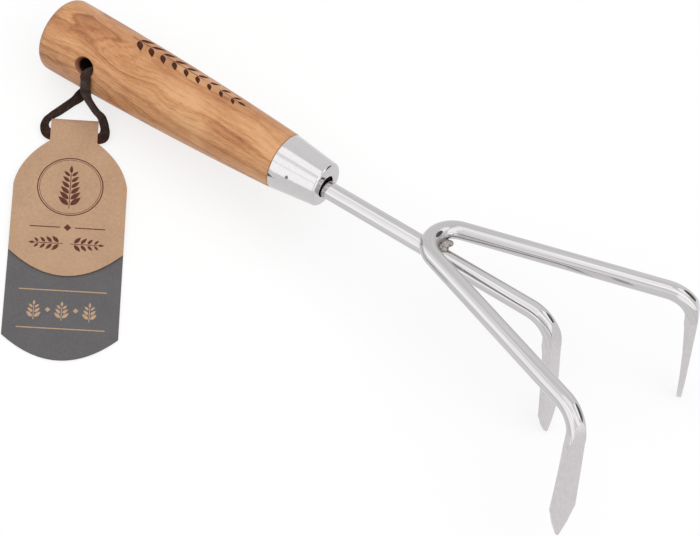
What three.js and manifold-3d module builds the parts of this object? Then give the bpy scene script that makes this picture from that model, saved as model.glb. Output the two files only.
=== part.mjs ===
// Three-prong hand cultivator: a turned wooden handle, a tapered steel ferrule, round rods bent
// into three tines with spear points, and a folded card tag on a flat lace.
// Millimetres, +Z up.
//
// The tool is drawn along its own handle: +X runs from the butt to the head, the tines point
// down and +Y is the far side. It is then laid on a table the way it rests there, on the lower
// edge of the butt, on the middle tine and on the far outer tine, with the near tine lifted.
// The origin is the middle of the tool's box, at table level. The lace and the tag lie in front.

import * as THREE from 'three';
import { mergeVertices } from 'three/addons/utils/BufferGeometryUtils.js';
import Module from 'manifold-3d';

const wasm = await Module();
wasm.setup();

// Driving dimensions.

// Clearance between pieces that touch on the real tool.
const seatGap = 0.3;
// How far a cutting shape reaches past the face that it cuts.
const cutOverrun = 2;

// Handle, measured from the butt face along its axis.
const handleLength = 126.8;
const buttDiameter = 34.6;
const gripDiameter = 32.3;
const neckDiameter = 25.8;
const buttRounding = 4.6;
const shoulderChamfer = 0.4;
const hangHoleFromButt = 27.3;
const hangHoleDiameter = 7.6;
const hangHoleRimDiameter = 11.4;
const hangHoleRimDepth = 1.9;
const hangHoleRoll = 16.3;

// Ferrule: a tapered tube whose mouth is turned in round the rod.
const ferruleLength = 22.6;
const ferruleMouthDiameter = 20.3;
const ferruleMouthBore = 12.2;
const ferruleWall = 1.2;
const ferruleLip = 1.3;
const ferruleLipRounding = 1.1;

// Brad that pins the ferrule to the wood.
const bradDiameter = 1.7;
const bradHeadRise = 0.15;
const bradLength = 6;
const bradFromFerrule = 8.8;
const bradRoll = 18.7;

// Rods.
const rodDiameter = 8;
const tangLength = 45;
const rodDrop = 1.7;
const shaftPitch = 0.4;
const shaftLength = 55.3;
const crownRadius = 11.7;
const outerArmAngle = 20;
const outerArmLength = 101.8;
const middleArmLength = 62.7;
const bendRadius = 14.1;

// Tines, each measured from the corner of its bend.
const outerTineLength = 63.5;
const outerTineLean = 4.6;
const outerTineSplay = 2.9;
const middleTineLength = 62.2;
const middleTineLean = 7.5;

// Forged blade of a tine.
const bladeRootWidth = 8.6;
const bladeRootThickness = 4.9;
const bladeWidth = 12.1;
const bladeThickness = 2.4;
const bladeSwellLength = 7;
const pointLength = 12.6;
const tipWidth = 2;
const tipThickness = 1.8;

// Weld beads in the two notches where the bent rod crosses the shaft.
const beadLength = 3.6;
const beadWidth = 6.4;
const beadHeight = 3.2;

// Flat lace: its free line, and the knot and two tails behind the handle that close its loop.
const laceWidth = 5.5;
const laceThickness = 1.2;
const knotLength = 10.4;
const knotDepth = 9.2;
const knotHeight = 7.2;
const tailLength = 12;
const tailAngles = [14, 352];

// Folded card tag. Its lengths run down the card from the fold, and the middle of the fold lies
// this far behind the origin and in front of it.
const tagWidth = 50;
const tagNeckWidth = 21;
const tagNeckLength = 12;
const tagShoulderLength = 22.5;
const frontLeafLength = 79.1;
const frontLeafSag = 11.9;
const backLeafLength = 119.4;
const backLeafSag = 11.2;
const cardThickness = 0.6;
const foldOpening = 2;
const foldLap = 2;
const leafSlope = 1.2;
const tagLift = 0.3;
const tagTurn = 35.9;
const tagFoldBehindMiddle = 129.2;
const tagFoldInFront = 16.7;

// Facet counts.

const turnSegments = 36;
const rodSides = 14;
const boreSides = 24;
const bendSteps = 9;
const crownSteps = 10;
const beadSides = 20;
const laceSides = 8;
const laceStepsPerPoint = 2;
const foldSteps = 10;
const cardSteps = 8;

// Shares.

// The forging starts this far round the bend.
const forgeStartShare = 0.55;
// Half width of the point against its length, from its shoulder to its tip.
const pointShares = [[0, 1], [0.08, 0.95], [0.5, 0.58], [1, 0]];

// The shoulder's curve bends towards this place: across the half width, and down the shoulder.
const shoulderBendShares = [0.92, 0.43];

// Route of the lace.

// Places along the lace in the part's own frame, each with the direction across its flat: from
// the knot up through the handle, down the near side, through the fold of the tag, and back
// under the handle to the knot. Chosen by hand.
const laceRoute = [
  [[-128.4, 29.4, 4.9], [0.95, -0.19, 0.24]],
  [[-129.4, 25.5, 8.4], [0.98, -0.02, 0.19]],
  [[-130.1, 23.0, 10.7], [0.98, -0.01, 0.18]],
  [[-130.4, 18.1, 13.4], [0.99, 0.04, 0.15]],
  [[-130.8, 10.9, 18.4], [0.94, 0.15, 0.31]],
  [[-131.0, 2.8, 22.5], [0.85, 0.22, 0.48]],
  [[-131.5, -2.4, 25.6], [0.74, 0.3, 0.6]],
  [[-131.6, -5.4, 26.8], [0.76, 0.3, 0.58]],
  [[-131.0, -7.7, 27.2], [0.76, 0.34, 0.55]],
  [[-129.9, -9.1, 26.3], [0.95, 0.08, 0.25]],
  [[-129.6, -9.5, 22.8], [1.0, -0.02, -0.01]],
  [[-129.6, -9.6, 19.9], [0.98, 0.0, 0.18]],
  [[-128.9, -10.2, 18.5], [0.91, 0.2, 0.35]],
  [[-128.0, -10.4, 15.9], [0.92, 0.08, 0.4]],
  [[-126.6, -10.4, 13.2], [0.84, 0.08, 0.54]],
  [[-124.6, -10.3, 10.6], [0.79, 0.07, 0.61]],
  [[-122.5, -10.0, 7.8], [0.74, 0.12, 0.67]],
  [[-119.8, -9.8, 5.9], [0.61, 0.21, 0.77]],
  [[-118.0, -10.6, 4.4], [0.55, 0.26, 0.79]],
  [[-116.0, -12.1, 3.5], [0.62, 0.26, 0.74]],
  [[-114.6, -13.9, 2.7], [0.84, 0.25, 0.49]],
  [[-114.1, -15.8, 2.2], [0.99, -0.14, 0.0]],
  [[-115.1, -17.5, 1.9], [0.7, -0.71, 0.0]],
  [[-117.5, -19.2, 1.9], [0.57, -0.82, 0.0]],
  [[-126.6, -25.3, 1.9], [0.56, -0.83, 0.0]],
  [[-130.4, -27.8, 1.9], [0.57, -0.82, 0.0]],
  [[-132.4, -29.3, 2.0], [0.4, -0.92, 0.01]],
  [[-134.6, -29.6, 2.3], [-0.26, -0.96, 0.0]],
  [[-136.7, -28.6, 2.7], [-0.64, -0.5, 0.58]],
  [[-138.3, -26.2, 3.0], [-0.4, -0.12, 0.9]],
  [[-138.6, -23.0, 3.0], [-0.1, 0.04, 0.99]],
  [[-137.4, -17.8, 2.9], [-0.24, 0.03, 0.97]],
  [[-135.9, -10.2, 2.9], [-0.3, 0.04, 0.95]],
  [[-135.6, -5.0, 2.2], [-0.8, 0.1, 0.58]],
  [[-135.5, 1.5, 1.2], [-0.99, 0.08, 0.1]],
  [[-135.2, 10.0, 1.1], [-0.99, 0.12, 0.0]],
  [[-134.0, 18.6, 1.3], [-0.97, 0.26, 0.0]],
  [[-131.9, 24.1, 1.9], [-0.91, 0.41, 0.01]],
  [[-129.6, 28.0, 2.6], [-0.86, 0.51, 0.0]],
];
const knotPlace = [-128.2, 30.6, 4];

// Materials.

const ashWood = new THREE.MeshStandardMaterial({ color: 0xcf9a6b, roughness: 0.45, metalness: 0 });
const darkLace = new THREE.MeshStandardMaterial({ color: 0x2a1c1c, roughness: 0.9, metalness: 0 });
const kraftCard = new THREE.MeshStandardMaterial({ color: 0xbe9b7d, roughness: 0.85, metalness: 0 });
const greyCard = new THREE.MeshStandardMaterial({ color: 0x6a6867, roughness: 0.8, metalness: 0 });
const polishedSteel = { color: 0xc9c9cc, roughness: 0.18, metalness: 1 };

function steel(roughness) {
  return new THREE.MeshStandardMaterial({ ...polishedSteel, roughness });
}

// Helpers.

const rodRadius = rodDiameter / 2;
const xAxis = new THREE.Vector3(1, 0, 0);
const yAxis = new THREE.Vector3(0, 1, 0);
const zAxis = new THREE.Vector3(0, 0, 1);

function radians(degrees) {
  return THREE.MathUtils.degToRad(degrees);
}

function piece(name, geometry, material) {
  const mesh = new THREE.Mesh(geometry, material.clone());
  mesh.name = name;
  return mesh;
}

// A shape turned about the X axis; the profile lists [along, radius] pairs.
function turned(profile, segments = turnSegments) {
  const points = profile.map(([along, radius]) => new THREE.Vector2(radius, along));
  const geometry = new THREE.LatheGeometry(points, segments);
  geometry.rotateZ(-Math.PI / 2);
  return geometry;
}

// A closed mesh as a solid that can be joined or cut.
function solid(geometry) {
  const bare = geometry.clone();
  bare.deleteAttribute('normal');
  bare.deleteAttribute('uv');
  const merged = mergeVertices(bare);
  const corners = merged.index.array;
  const kept = [];
  for (let i = 0; i < corners.length; i += 3) {
    const [a, b, c] = [corners[i], corners[i + 1], corners[i + 2]];
    if (a !== b && b !== c && c !== a) kept.push(a, b, c);
  }
  const vertProperties = Float32Array.from(merged.attributes.position.array);
  const triVerts = Uint32Array.from(kept);
  return new wasm.Manifold(new wasm.Mesh({ numProp: 3, vertProperties, triVerts }));
}

function geometryOf(manifold) {
  const mesh = manifold.getMesh();
  const positions = new Float32Array((mesh.vertProperties.length / mesh.numProp) * 3);
  for (let i = 0; i < positions.length / 3; i += 1) {
    for (let k = 0; k < 3; k += 1) {
      positions[i * 3 + k] = mesh.vertProperties[i * mesh.numProp + k];
    }
  }
  const geometry = new THREE.BufferGeometry();
  geometry.setAttribute('position', new THREE.BufferAttribute(positions, 3));
  geometry.setIndex(new THREE.BufferAttribute(Uint32Array.from(mesh.triVerts), 1));
  geometry.computeVertexNormals();
  return geometry;
}

// A skin through a row of stations, closed at both ends. Each station holds its centre, the two
// directions across it and its half width and half thickness.
function swept(stations, sides) {
  const positions = [];
  const index = [];
  for (const { centre, across, over, halfWidth, halfThickness } of stations) {
    for (let k = 0; k < sides; k += 1) {
      const turn = (2 * Math.PI * k) / sides;
      const point = centre.clone()
        .addScaledVector(across, halfWidth * Math.cos(turn))
        .addScaledVector(over, halfThickness * Math.sin(turn));
      positions.push(point.x, point.y, point.z);
    }
  }
  for (let s = 0; s + 1 < stations.length; s += 1) {
    for (let k = 0; k < sides; k += 1) {
      const a = s * sides + k;
      const b = s * sides + ((k + 1) % sides);
      index.push(a, a + sides, b, b, a + sides, b + sides);
    }
  }
  const last = (stations.length - 1) * sides;
  for (let k = 1; k + 1 < sides; k += 1) {
    index.push(0, k, k + 1);
    index.push(last, last + k + 1, last + k);
  }
  const geometry = new THREE.BufferGeometry();
  geometry.setAttribute('position', new THREE.Float32BufferAttribute(positions, 3));
  geometry.setIndex(index);
  geometry.computeVertexNormals();
  return geometry;
}

// A round bar from one point to another, for cutting and for pins.
function bar(from, to, radius, sides = boreSides) {
  const length = from.distanceTo(to);
  const geometry = new THREE.CylinderGeometry(radius, radius, length, sides);
  const direction = to.clone().sub(from).normalize();
  geometry.applyQuaternion(new THREE.Quaternion().setFromUnitVectors(yAxis, direction));
  const middle = from.clone().lerp(to, 1 / 2);
  geometry.translate(middle.x, middle.y, middle.z);
  return geometry;
}

// Handle.

const buttRadius = buttDiameter / 2;
const neckRadius = neckDiameter / 2;

// Radius of the wood at a distance from the butt: one curve through butt, grip and neck.
function handleRadius(along) {
  const share = along / handleLength;
  const atButt = buttRadius * (1 - share) * (1 - 2 * share);
  const atGrip = (gripDiameter / 2) * 4 * share * (1 - share);
  const atNeck = neckRadius * share * (2 * share - 1);
  return atButt + atGrip + atNeck;
}

// Outer radius of the ferrule at a distance from the butt.
const mouthRadius = ferruleMouthDiameter / 2;
const ferruleMouth = handleLength + ferruleLength;

function ferruleRadius(along) {
  const share = (along - handleLength) / ferruleLength;
  return neckRadius + (mouthRadius - neckRadius) * share;
}

const noseEnd = ferruleMouth - ferruleLip - seatGap;
const noseWallGap = ferruleWall + seatGap;

// Line of the tang and shaft, which leaves the mouth a little below the handle's axis.
const shaftDirection = new THREE.Vector3(
  Math.cos(radians(shaftPitch)), 0, -Math.sin(radians(shaftPitch)));

function onShaft(along) {
  const mouthCentre = new THREE.Vector3(ferruleMouth, 0, -rodDrop);
  return mouthCentre.addScaledVector(shaftDirection, (along - ferruleMouth) / shaftDirection.x);
}

const tangEnd = noseEnd - tangLength;

function handleProfile() {
  const profile = [[0, 0]];
  const roundingSteps = 5;
  for (let k = 0; k <= roundingSteps; k += 1) {
    const turn = (Math.PI / 2) * (k / roundingSteps);
    const along = buttRounding * (1 - Math.cos(turn));
    const edge = handleRadius(buttRounding) - buttRounding;
    profile.push([along, edge + buttRounding * Math.sin(turn)]);
  }
  const gripSteps = 11;
  for (let k = 1; k <= gripSteps; k += 1) {
    const reach = handleLength - shoulderChamfer - buttRounding;
    const along = buttRounding + reach * (k / gripSteps);
    profile.push([along, handleRadius(along)]);
  }
  profile.push([handleLength, neckRadius - shoulderChamfer]);
  profile.push([handleLength, ferruleRadius(handleLength) - noseWallGap]);
  profile.push([noseEnd, ferruleRadius(noseEnd) - noseWallGap]);
  profile.push([noseEnd, 0]);
  return profile;
}

// The hanging hole runs square through the handle, turned a little out of level.
const hangHoleDirection = yAxis.clone().negate().applyAxisAngle(xAxis, radians(-hangHoleRoll));
const hangHoleCentre = new THREE.Vector3(hangHoleFromButt, 0, 0);

function hangHoleCutter() {
  const surface = handleRadius(hangHoleFromButt);
  const rimSlope = (hangHoleRimDiameter - hangHoleDiameter) / 2 / hangHoleRimDepth;
  const reach = surface + cutOverrun;
  const rimStart = surface - hangHoleRimDepth;
  const boreRadius = hangHoleDiameter / 2;
  const rimEnd = boreRadius + (reach - rimStart) * rimSlope;
  const profile = [
    [-reach, 0],
    [-reach, rimEnd],
    [-rimStart, boreRadius],
    [rimStart, boreRadius],
    [reach, rimEnd],
    [reach, 0],
  ];
  const cutter = turned(profile, boreSides);
  cutter.applyQuaternion(new THREE.Quaternion().setFromUnitVectors(xAxis, hangHoleDirection));
  cutter.translate(hangHoleCentre.x, hangHoleCentre.y, hangHoleCentre.z);
  return solid(cutter);
}

// Line of the brad through the ferrule's near wall into the wood.
const bradAlong = handleLength + bradFromFerrule;
const bradDirection = yAxis.clone().negate().applyAxisAngle(xAxis, radians(-bradRoll));

function onBrad(depth) {
  const surface = ferruleRadius(bradAlong) - depth;
  return new THREE.Vector3(bradAlong, 0, 0).addScaledVector(bradDirection, surface);
}

const bradHoleRadius = bradDiameter / 2 + seatGap;

function bradHole() {
  return solid(bar(onBrad(-cutOverrun), onBrad(bradLength + seatGap), bradHoleRadius, rodSides));
}

function makeHandle() {
  const tangHole = bar(
    onShaft(tangEnd - seatGap), onShaft(noseEnd + cutOverrun), rodRadius + seatGap);
  const wood = solid(turned(handleProfile()))
    .subtract(solid(tangHole))
    .subtract(hangHoleCutter())
    .subtract(bradHole());
  return piece('handle_grip', geometryOf(wood), ashWood);
}

// Ferrule and brad.

function makeFerrule() {
  const start = handleLength + seatGap;
  const innerEnd = ferruleMouth - ferruleLip;
  const profile = [[start, ferruleRadius(start)]];
  const roundingSteps = 4;
  for (let k = 0; k <= roundingSteps; k += 1) {
    const turn = (Math.PI / 2) * (k / roundingSteps);
    const along = ferruleMouth - ferruleLipRounding * (1 - Math.sin(turn));
    const edge = ferruleRadius(ferruleMouth) - ferruleLipRounding;
    profile.push([along, edge + ferruleLipRounding * Math.cos(turn)]);
  }
  profile.push([ferruleMouth, ferruleMouthBore / 2]);
  profile.push([innerEnd, ferruleMouthBore / 2]);
  profile.push([innerEnd, ferruleRadius(innerEnd) - ferruleWall]);
  profile.push([start, ferruleRadius(start) - ferruleWall]);
  profile.push(profile[0]);
  const tube = solid(turned(profile)).subtract(bradHole());
  return piece('ferrule', geometryOf(tube), steel(0.16));
}

function makeBrad() {
  const brad = bar(onBrad(-bradHeadRise), onBrad(bradLength), bradDiameter / 2, rodSides);
  return piece('ferrule_brad', brad, steel(0.3));
}

// Rods and tines.

// Stations of a plain round rod along a heading that lies level across the tool.
function roundStation(centre, tangent, across) {
  const side = across.clone().addScaledVector(tangent, -across.dot(tangent)).normalize();
  const over = new THREE.Vector3().crossVectors(side, tangent).normalize();
  return { centre, tangent, across: side, over, halfWidth: rodRadius, halfThickness: rodRadius };
}

// An arm from a start point, its bend and its tine, as one row of stations.
// forward and side are level unit directions of the arm; lean and splay tip its tine.
function prongStations({ start, arm, forward, side, armLength, tineLength, lean, splay }) {
  const tine = zAxis.clone().negate()
    .addScaledVector(forward, Math.tan(radians(lean)))
    .addScaledVector(side, Math.tan(radians(splay)))
    .normalize();
  const bend = Math.acos(arm.dot(tine));
  const cut = bendRadius * Math.tan(bend / 2);
  const bendStart = start.clone().addScaledVector(arm, armLength - cut);
  const inward = tine.clone().addScaledVector(arm, -arm.dot(tine)).normalize();
  const bendCentre = bendStart.clone().addScaledVector(inward, bendRadius);
  const stations = [];
  const forgeStart = forgeStartShare * bendSteps;
  for (let k = 0; k <= bendSteps; k += 1) {
    const turn = bend * (k / bendSteps);
    const centre = bendCentre.clone()
      .addScaledVector(inward, -bendRadius * Math.cos(turn))
      .addScaledVector(arm, bendRadius * Math.sin(turn));
    const tangent = arm.clone().multiplyScalar(Math.cos(turn))
      .addScaledVector(inward, Math.sin(turn));
    const station = roundStation(centre, tangent, side);
    const forged = Math.max(0, (k - forgeStart) / (bendSteps - forgeStart));
    station.halfWidth += (bladeRootWidth / 2 - rodRadius) * forged;
    station.halfThickness += (bladeRootThickness / 2 - rodRadius) * forged;
    stations.push(station);
  }
  const bladeStart = bendCentre.clone()
    .addScaledVector(inward, -bendRadius * Math.cos(bend))
    .addScaledVector(arm, bendRadius * Math.sin(bend));
  const bladeLength = tineLength - cut;
  const addBlade = (distance, width, thickness) => {
    const centre = bladeStart.clone().addScaledVector(tine, distance);
    const station = roundStation(centre, tine, side);
    station.halfWidth = width / 2;
    station.halfThickness = thickness / 2;
    stations.push(station);
  };
  const pointStart = bladeLength - pointLength;
  const swellWidth = (bladeRootWidth + bladeWidth) / 2;
  const swellThickness = (bladeRootThickness + bladeThickness) / 2;
  addBlade(bladeSwellLength, swellWidth, (swellThickness + bladeRootThickness) / 2);
  addBlade((bladeSwellLength + pointStart) / 2, (swellWidth + bladeWidth) / 2, swellThickness);
  for (const [share, widthShare] of pointShares) {
    const width = tipWidth + (bladeWidth - tipWidth) * widthShare;
    const thickness = bladeThickness + (tipThickness - bladeThickness) * share;
    addBlade(pointStart + pointLength * share, width, thickness);
  }
  return stations;
}

const crownAlong = ferruleMouth + shaftLength;
const rodLift = rodDiameter + seatGap;

function makeMiddleProng() {
  const stations = [
    roundStation(onShaft(tangEnd), shaftDirection, yAxis),
    roundStation(onShaft(ferruleMouth), shaftDirection, yAxis),
    roundStation(onShaft(crownAlong), shaftDirection, yAxis),
    ...prongStations({
      start: onShaft(crownAlong),
      arm: shaftDirection,
      forward: xAxis,
      side: yAxis,
      armLength: middleArmLength,
      tineLength: middleTineLength,
      lean: middleTineLean,
      splay: 0,
    }),
  ];
  return piece('middle_prong', swept(stations, rodSides), steel(0.2));
}

// Stations of the bent rod that makes both outer prongs, from the near tip to the far tip.
function outerStations(radiusExtra = 0) {
  const crownCentre = onShaft(crownAlong).addScaledVector(zAxis, rodLift);
  crownCentre.x += crownRadius;
  const halfTurn = Math.PI / 2 - radians(outerArmAngle);
  const slope = -Math.tan(radians(shaftPitch));
  const tilted = (x, y) => new THREE.Vector3(
    crownCentre.x + x, crownCentre.y + y, crownCentre.z + x * slope);
  const halves = [-1, 1].map((hand) => {
    const angle = radians(outerArmAngle) * hand;
    const forward = new THREE.Vector3(Math.cos(angle), Math.sin(angle), 0);
    const side = new THREE.Vector3(-Math.sin(angle), Math.cos(angle), 0).multiplyScalar(hand);
    const arm = new THREE.Vector3(forward.x, forward.y, forward.x * slope).normalize();
    const start = tilted(
      -crownRadius * Math.cos(halfTurn), crownRadius * Math.sin(halfTurn) * hand);
    return prongStations({
      start,
      arm,
      forward,
      side,
      armLength: outerArmLength,
      tineLength: outerTineLength,
      lean: outerTineLean,
      splay: outerTineSplay,
    });
  });
  const crown = [];
  for (let k = 0; k <= crownSteps; k += 1) {
    const turn = halfTurn * ((2 * k) / crownSteps - 1);
    const centre = tilted(-crownRadius * Math.cos(turn), crownRadius * Math.sin(turn));
    const tangent = new THREE.Vector3(
      Math.sin(turn), Math.cos(turn), Math.sin(turn) * slope).normalize();
    crown.push(roundStation(centre, tangent, new THREE.Vector3(-Math.cos(turn), Math.sin(turn), 0)));
  }
  // The near half runs tip first, so its stations turn round to keep one direction.
  const near = halves[0].reverse().map((station) => ({
    ...station,
    tangent: station.tangent.clone().negate(),
    across: station.across.clone(),
    over: station.over.clone().negate(),
  }));
  const far = halves[1];
  return [...near, ...crown, ...far].map((station) => ({
    ...station,
    halfWidth: station.halfWidth + radiusExtra,
    halfThickness: station.halfThickness + radiusExtra,
  }));
}

function makeOuterProngs() {
  return piece('outer_prongs', swept(outerStations(), rodSides), steel(0.2));
}

// Weld beads.

// Each bead fills the notch between the shaft and the crown of the bent rod, on one side of it.
function makeBead(name, hand) {
  const notch = onShaft(crownAlong).addScaledVector(zAxis, rodLift / 2);
  notch.x += (hand * (rodRadius + beadLength)) / 2;
  const blob = new THREE.SphereGeometry(1, beadSides, beadSides / 2);
  blob.scale(beadLength / 2, beadWidth / 2, beadHeight / 2);
  blob.translate(notch.x, notch.y, notch.z);
  const shaftCut = bar(
    onShaft(ferruleMouth), onShaft(crownAlong + middleArmLength / 2), rodRadius + seatGap);
  const bead = solid(blob)
    .subtract(solid(shaftCut))
    .subtract(solid(swept(outerStations(seatGap), rodSides)));
  return piece(name, geometryOf(bead), steel(0.35));
}

// Laying the tool down.

// World corners of a mesh, taken from its geometry.
function cornersOf(mesh) {
  const positions = mesh.geometry.attributes.position;
  const corners = [];
  for (let i = 0; i < positions.count; i += 1) {
    corners.push(new THREE.Vector3().fromBufferAttribute(positions, i));
  }
  return corners;
}

function lowest(corners, up) {
  return corners.reduce((low, point) => (point.dot(up) < low.dot(up) ? point : low));
}

// The table under the tool: the plane that its butt, middle tip and far tip all touch.
function restingPlane(butt, middleTine, farTine) {
  let up = zAxis.clone();
  let touch = [];
  const rounds = 12;
  for (let k = 0; k < rounds; k += 1) {
    touch = [butt, middleTine, farTine].map((corners) => lowest(corners, up));
    const along = touch[1].clone().sub(touch[0]);
    const aside = touch[2].clone().sub(touch[0]);
    up = new THREE.Vector3().crossVectors(along, aside).normalize();
  }
  return { up, touch };
}

// Turns and shifts the tool so that the plane is level at height zero and the handle still runs
// along X; the origin goes to the middle of the tool's box.
function layDown(tool) {
  const byName = (name) => cornersOf(tool.getObjectByName(name));
  const farHalf = byName('outer_prongs').filter((point) => point.y > 0);
  const { up, touch } = restingPlane(byName('handle_grip'), byName('middle_prong'), farHalf);
  const forward = xAxis.clone().addScaledVector(up, -xAxis.dot(up)).normalize();
  const left = new THREE.Vector3().crossVectors(up, forward);
  const toTable = new THREE.Matrix4().makeBasis(forward, left, up).transpose();
  tool.applyMatrix4(toTable);
  tool.updateMatrixWorld(true);
  const box = new THREE.Box3().setFromObject(tool, true);
  const middle = box.getCenter(new THREE.Vector3());
  const floor = touch[0].clone().applyMatrix4(toTable).z;
  tool.position.sub(new THREE.Vector3(middle.x, middle.y, floor));
  tool.updateMatrixWorld(true);
}

const tool = new THREE.Group();
tool.add(
  makeHandle(),
  makeFerrule(),
  makeBrad(),
  makeMiddleProng(),
  makeOuterProngs(),
  makeBead('weld_bead_rear', -1),
  makeBead('weld_bead_front', 1),
);
layDown(tool);

// Lace.

const routePoints = laceRoute.map(([place]) => new THREE.Vector3(...place));
const routeSides = laceRoute.map(([, across]) => new THREE.Vector3(...across));
const laceLine = new THREE.CatmullRomCurve3(routePoints);
const laceSide = new THREE.CatmullRomCurve3(routeSides);

function laceStations(extra = 0) {
  const steps = (laceRoute.length - 1) * laceStepsPerPoint;
  const stations = [];
  for (let k = 0; k <= steps; k += 1) {
    const share = k / steps;
    const across = laceSide.getPoint(share).normalize();
    const station = roundStation(laceLine.getPoint(share), laceLine.getTangent(share), across);
    station.halfWidth = laceWidth / 2 + extra;
    station.halfThickness = laceThickness / 2 + extra;
    stations.push(station);
  }
  return stations;
}

function makeLace() {
  return piece('lace', swept(laceStations(), laceSides), darkLace);
}

// A tail of the knot: a flat end of the lace that leaves the knot and comes down to the table.
function knotTail(angle) {
  const knot = new THREE.Vector3(...knotPlace);
  const heading = new THREE.Vector3(Math.cos(radians(angle)), Math.sin(radians(angle)), 0);
  const across = new THREE.Vector3(-heading.y, heading.x, 0);
  const end = knot.clone().addScaledVector(heading, tailLength);
  end.z = laceThickness;
  const flat = (centre) => {
    const station = roundStation(centre, end.clone().sub(knot).normalize(), across);
    station.halfWidth = laceWidth / 2;
    station.halfThickness = laceThickness / 2;
    return station;
  };
  return solid(swept([flat(knot), flat(end)], laceSides));
}

function makeKnot() {
  const blob = new THREE.SphereGeometry(1, laceSides * 2, laceSides);
  blob.scale(knotLength / 2, knotDepth / 2, knotHeight / 2);
  blob.translate(...knotPlace);
  let knot = solid(blob);
  for (const angle of tailAngles) knot = knot.add(knotTail(angle));
  knot = knot.subtract(solid(swept(laceStations(seatGap), laceSides)));
  return piece('lace_knot', geometryOf(knot), darkLace);
}

// Tag.

// Outline of one leaf: neck, shoulders, straight sides and a rounded lower edge. The fold is at
// height zero and the leaf hangs below it.
function leafShape(start, length, sag) {
  const neck = tagNeckWidth / 2;
  const half = tagWidth / 2;
  const shoulderEnd = tagNeckLength + tagShoulderLength;
  const [acrossShare, downShare] = shoulderBendShares;
  const bendX = half * acrossShare;
  const bendY = tagNeckLength + tagShoulderLength * downShare;
  const sideEnd = length - sag;
  const shape = new THREE.Shape();
  shape.moveTo(-neck, -start);
  shape.lineTo(-neck, -tagNeckLength);
  shape.quadraticCurveTo(-bendX, -bendY, -half, -shoulderEnd);
  shape.lineTo(-half, -sideEnd);
  shape.quadraticCurveTo(0, -(length + sag), half, -sideEnd);
  shape.lineTo(half, -shoulderEnd);
  shape.quadraticCurveTo(bendX, -bendY, neck, -tagNeckLength);
  shape.lineTo(neck, -start);
  shape.closePath();
  return shape;
}

function card(shape) {
  const options = { depth: cardThickness, bevelEnabled: false, curveSegments: cardSteps };
  return new THREE.ExtrudeGeometry(shape, options);
}

const foldRadius = foldOpening / 2 + cardThickness;
const foldHeight = tagLift + foldRadius;

// The round of the fold, with a straight lap that lies in the back leaf.
function foldGeometry() {
  const shape = new THREE.Shape();
  shape.moveTo(-foldRadius - foldLap, tagLift);
  shape.lineTo(-foldRadius, tagLift);
  shape.absarc(-foldRadius, foldHeight, foldRadius, -Math.PI / 2, Math.PI / 2, false);
  shape.absarc(-foldRadius, foldHeight, foldOpening / 2, Math.PI / 2, -Math.PI / 2, true);
  shape.lineTo(-foldRadius - foldLap, tagLift + cardThickness);
  shape.closePath();
  const options = { depth: tagNeckWidth, bevelEnabled: false, curveSegments: foldSteps };
  const geometry = new THREE.ExtrudeGeometry(shape, options);
  geometry.applyMatrix4(new THREE.Matrix4().makeBasis(yAxis, zAxis, xAxis));
  geometry.translate(-tagNeckWidth / 2, 0, 0);
  return geometry;
}

function makeBackLeaf() {
  const leaf = card(leafShape(foldRadius + foldLap / 2, backLeafLength, backLeafSag));
  leaf.translate(0, 0, tagLift);
  const folded = solid(leaf).add(solid(foldGeometry()));
  return piece('tag_back_leaf', geometryOf(folded), greyCard);
}

// The front leaf turns on its crease, the upper edge next to the fold.
function makeFrontLeaf() {
  const crease = foldRadius + seatGap;
  const leaf = card(leafShape(crease, frontLeafLength, frontLeafSag));
  leaf.translate(0, crease, -cardThickness);
  const mesh = piece('tag_front_leaf', leaf, kraftCard);
  mesh.position.set(0, -crease, foldHeight + foldRadius);
  mesh.rotation.x = radians(leafSlope);
  return mesh;
}

const tag = new THREE.Group();
tag.add(makeBackLeaf(), makeFrontLeaf());
tag.rotation.z = radians(tagTurn);
tag.position.set(-tagFoldBehindMiddle, -tagFoldInFront, 0);

const cultivator = new THREE.Group();
cultivator.add(tool, makeLace(), makeKnot(), tag);

export default cultivator;
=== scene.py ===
"""Looks of a three-prong hand cultivator: ash handle, steel ferrule, forged prongs, lace and card tag."""

import logging  # noqa: E402
import math  # noqa: E402
import random  # noqa: E402
from collections.abc import Callable, Iterator, Sequence  # noqa: E402
from contextlib import contextmanager  # noqa: E402
from dataclasses import dataclass  # noqa: E402
from enum import Enum  # noqa: E402

import bmesh  # noqa: E402
import bpy  # noqa: E402
from mathutils import Matrix, Vector  # noqa: E402
from mathutils.kdtree import KDTree  # noqa: E402


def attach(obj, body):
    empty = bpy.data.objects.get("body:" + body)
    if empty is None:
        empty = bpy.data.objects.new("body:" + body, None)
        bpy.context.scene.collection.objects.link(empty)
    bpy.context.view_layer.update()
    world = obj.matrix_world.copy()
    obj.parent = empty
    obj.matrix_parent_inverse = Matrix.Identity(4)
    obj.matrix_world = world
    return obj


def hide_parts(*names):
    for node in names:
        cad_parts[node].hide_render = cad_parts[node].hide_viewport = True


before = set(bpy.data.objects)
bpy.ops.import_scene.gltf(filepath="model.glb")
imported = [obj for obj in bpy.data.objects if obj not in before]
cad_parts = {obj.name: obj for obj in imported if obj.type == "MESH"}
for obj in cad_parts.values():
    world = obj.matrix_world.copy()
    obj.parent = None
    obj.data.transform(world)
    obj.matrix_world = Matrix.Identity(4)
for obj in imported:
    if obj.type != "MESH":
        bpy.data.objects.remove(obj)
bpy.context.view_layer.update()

logging.basicConfig(level=logging.INFO, format="%(name)s: %(message)s")
log = logging.getLogger("cultivator")

Pair = tuple[float, float]
Triple = tuple[float, float, float]
Shade = tuple[int, int, int]
Outline = Sequence[Pair]
Places = Sequence[Vector]
RodPath = Sequence[tuple[Vector, float]]
Inputs = dict[str | int, object]
Piece = bpy.types.Object
Material = bpy.types.Material
Socket = bpy.types.NodeSocket
Value = float | Socket

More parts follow.
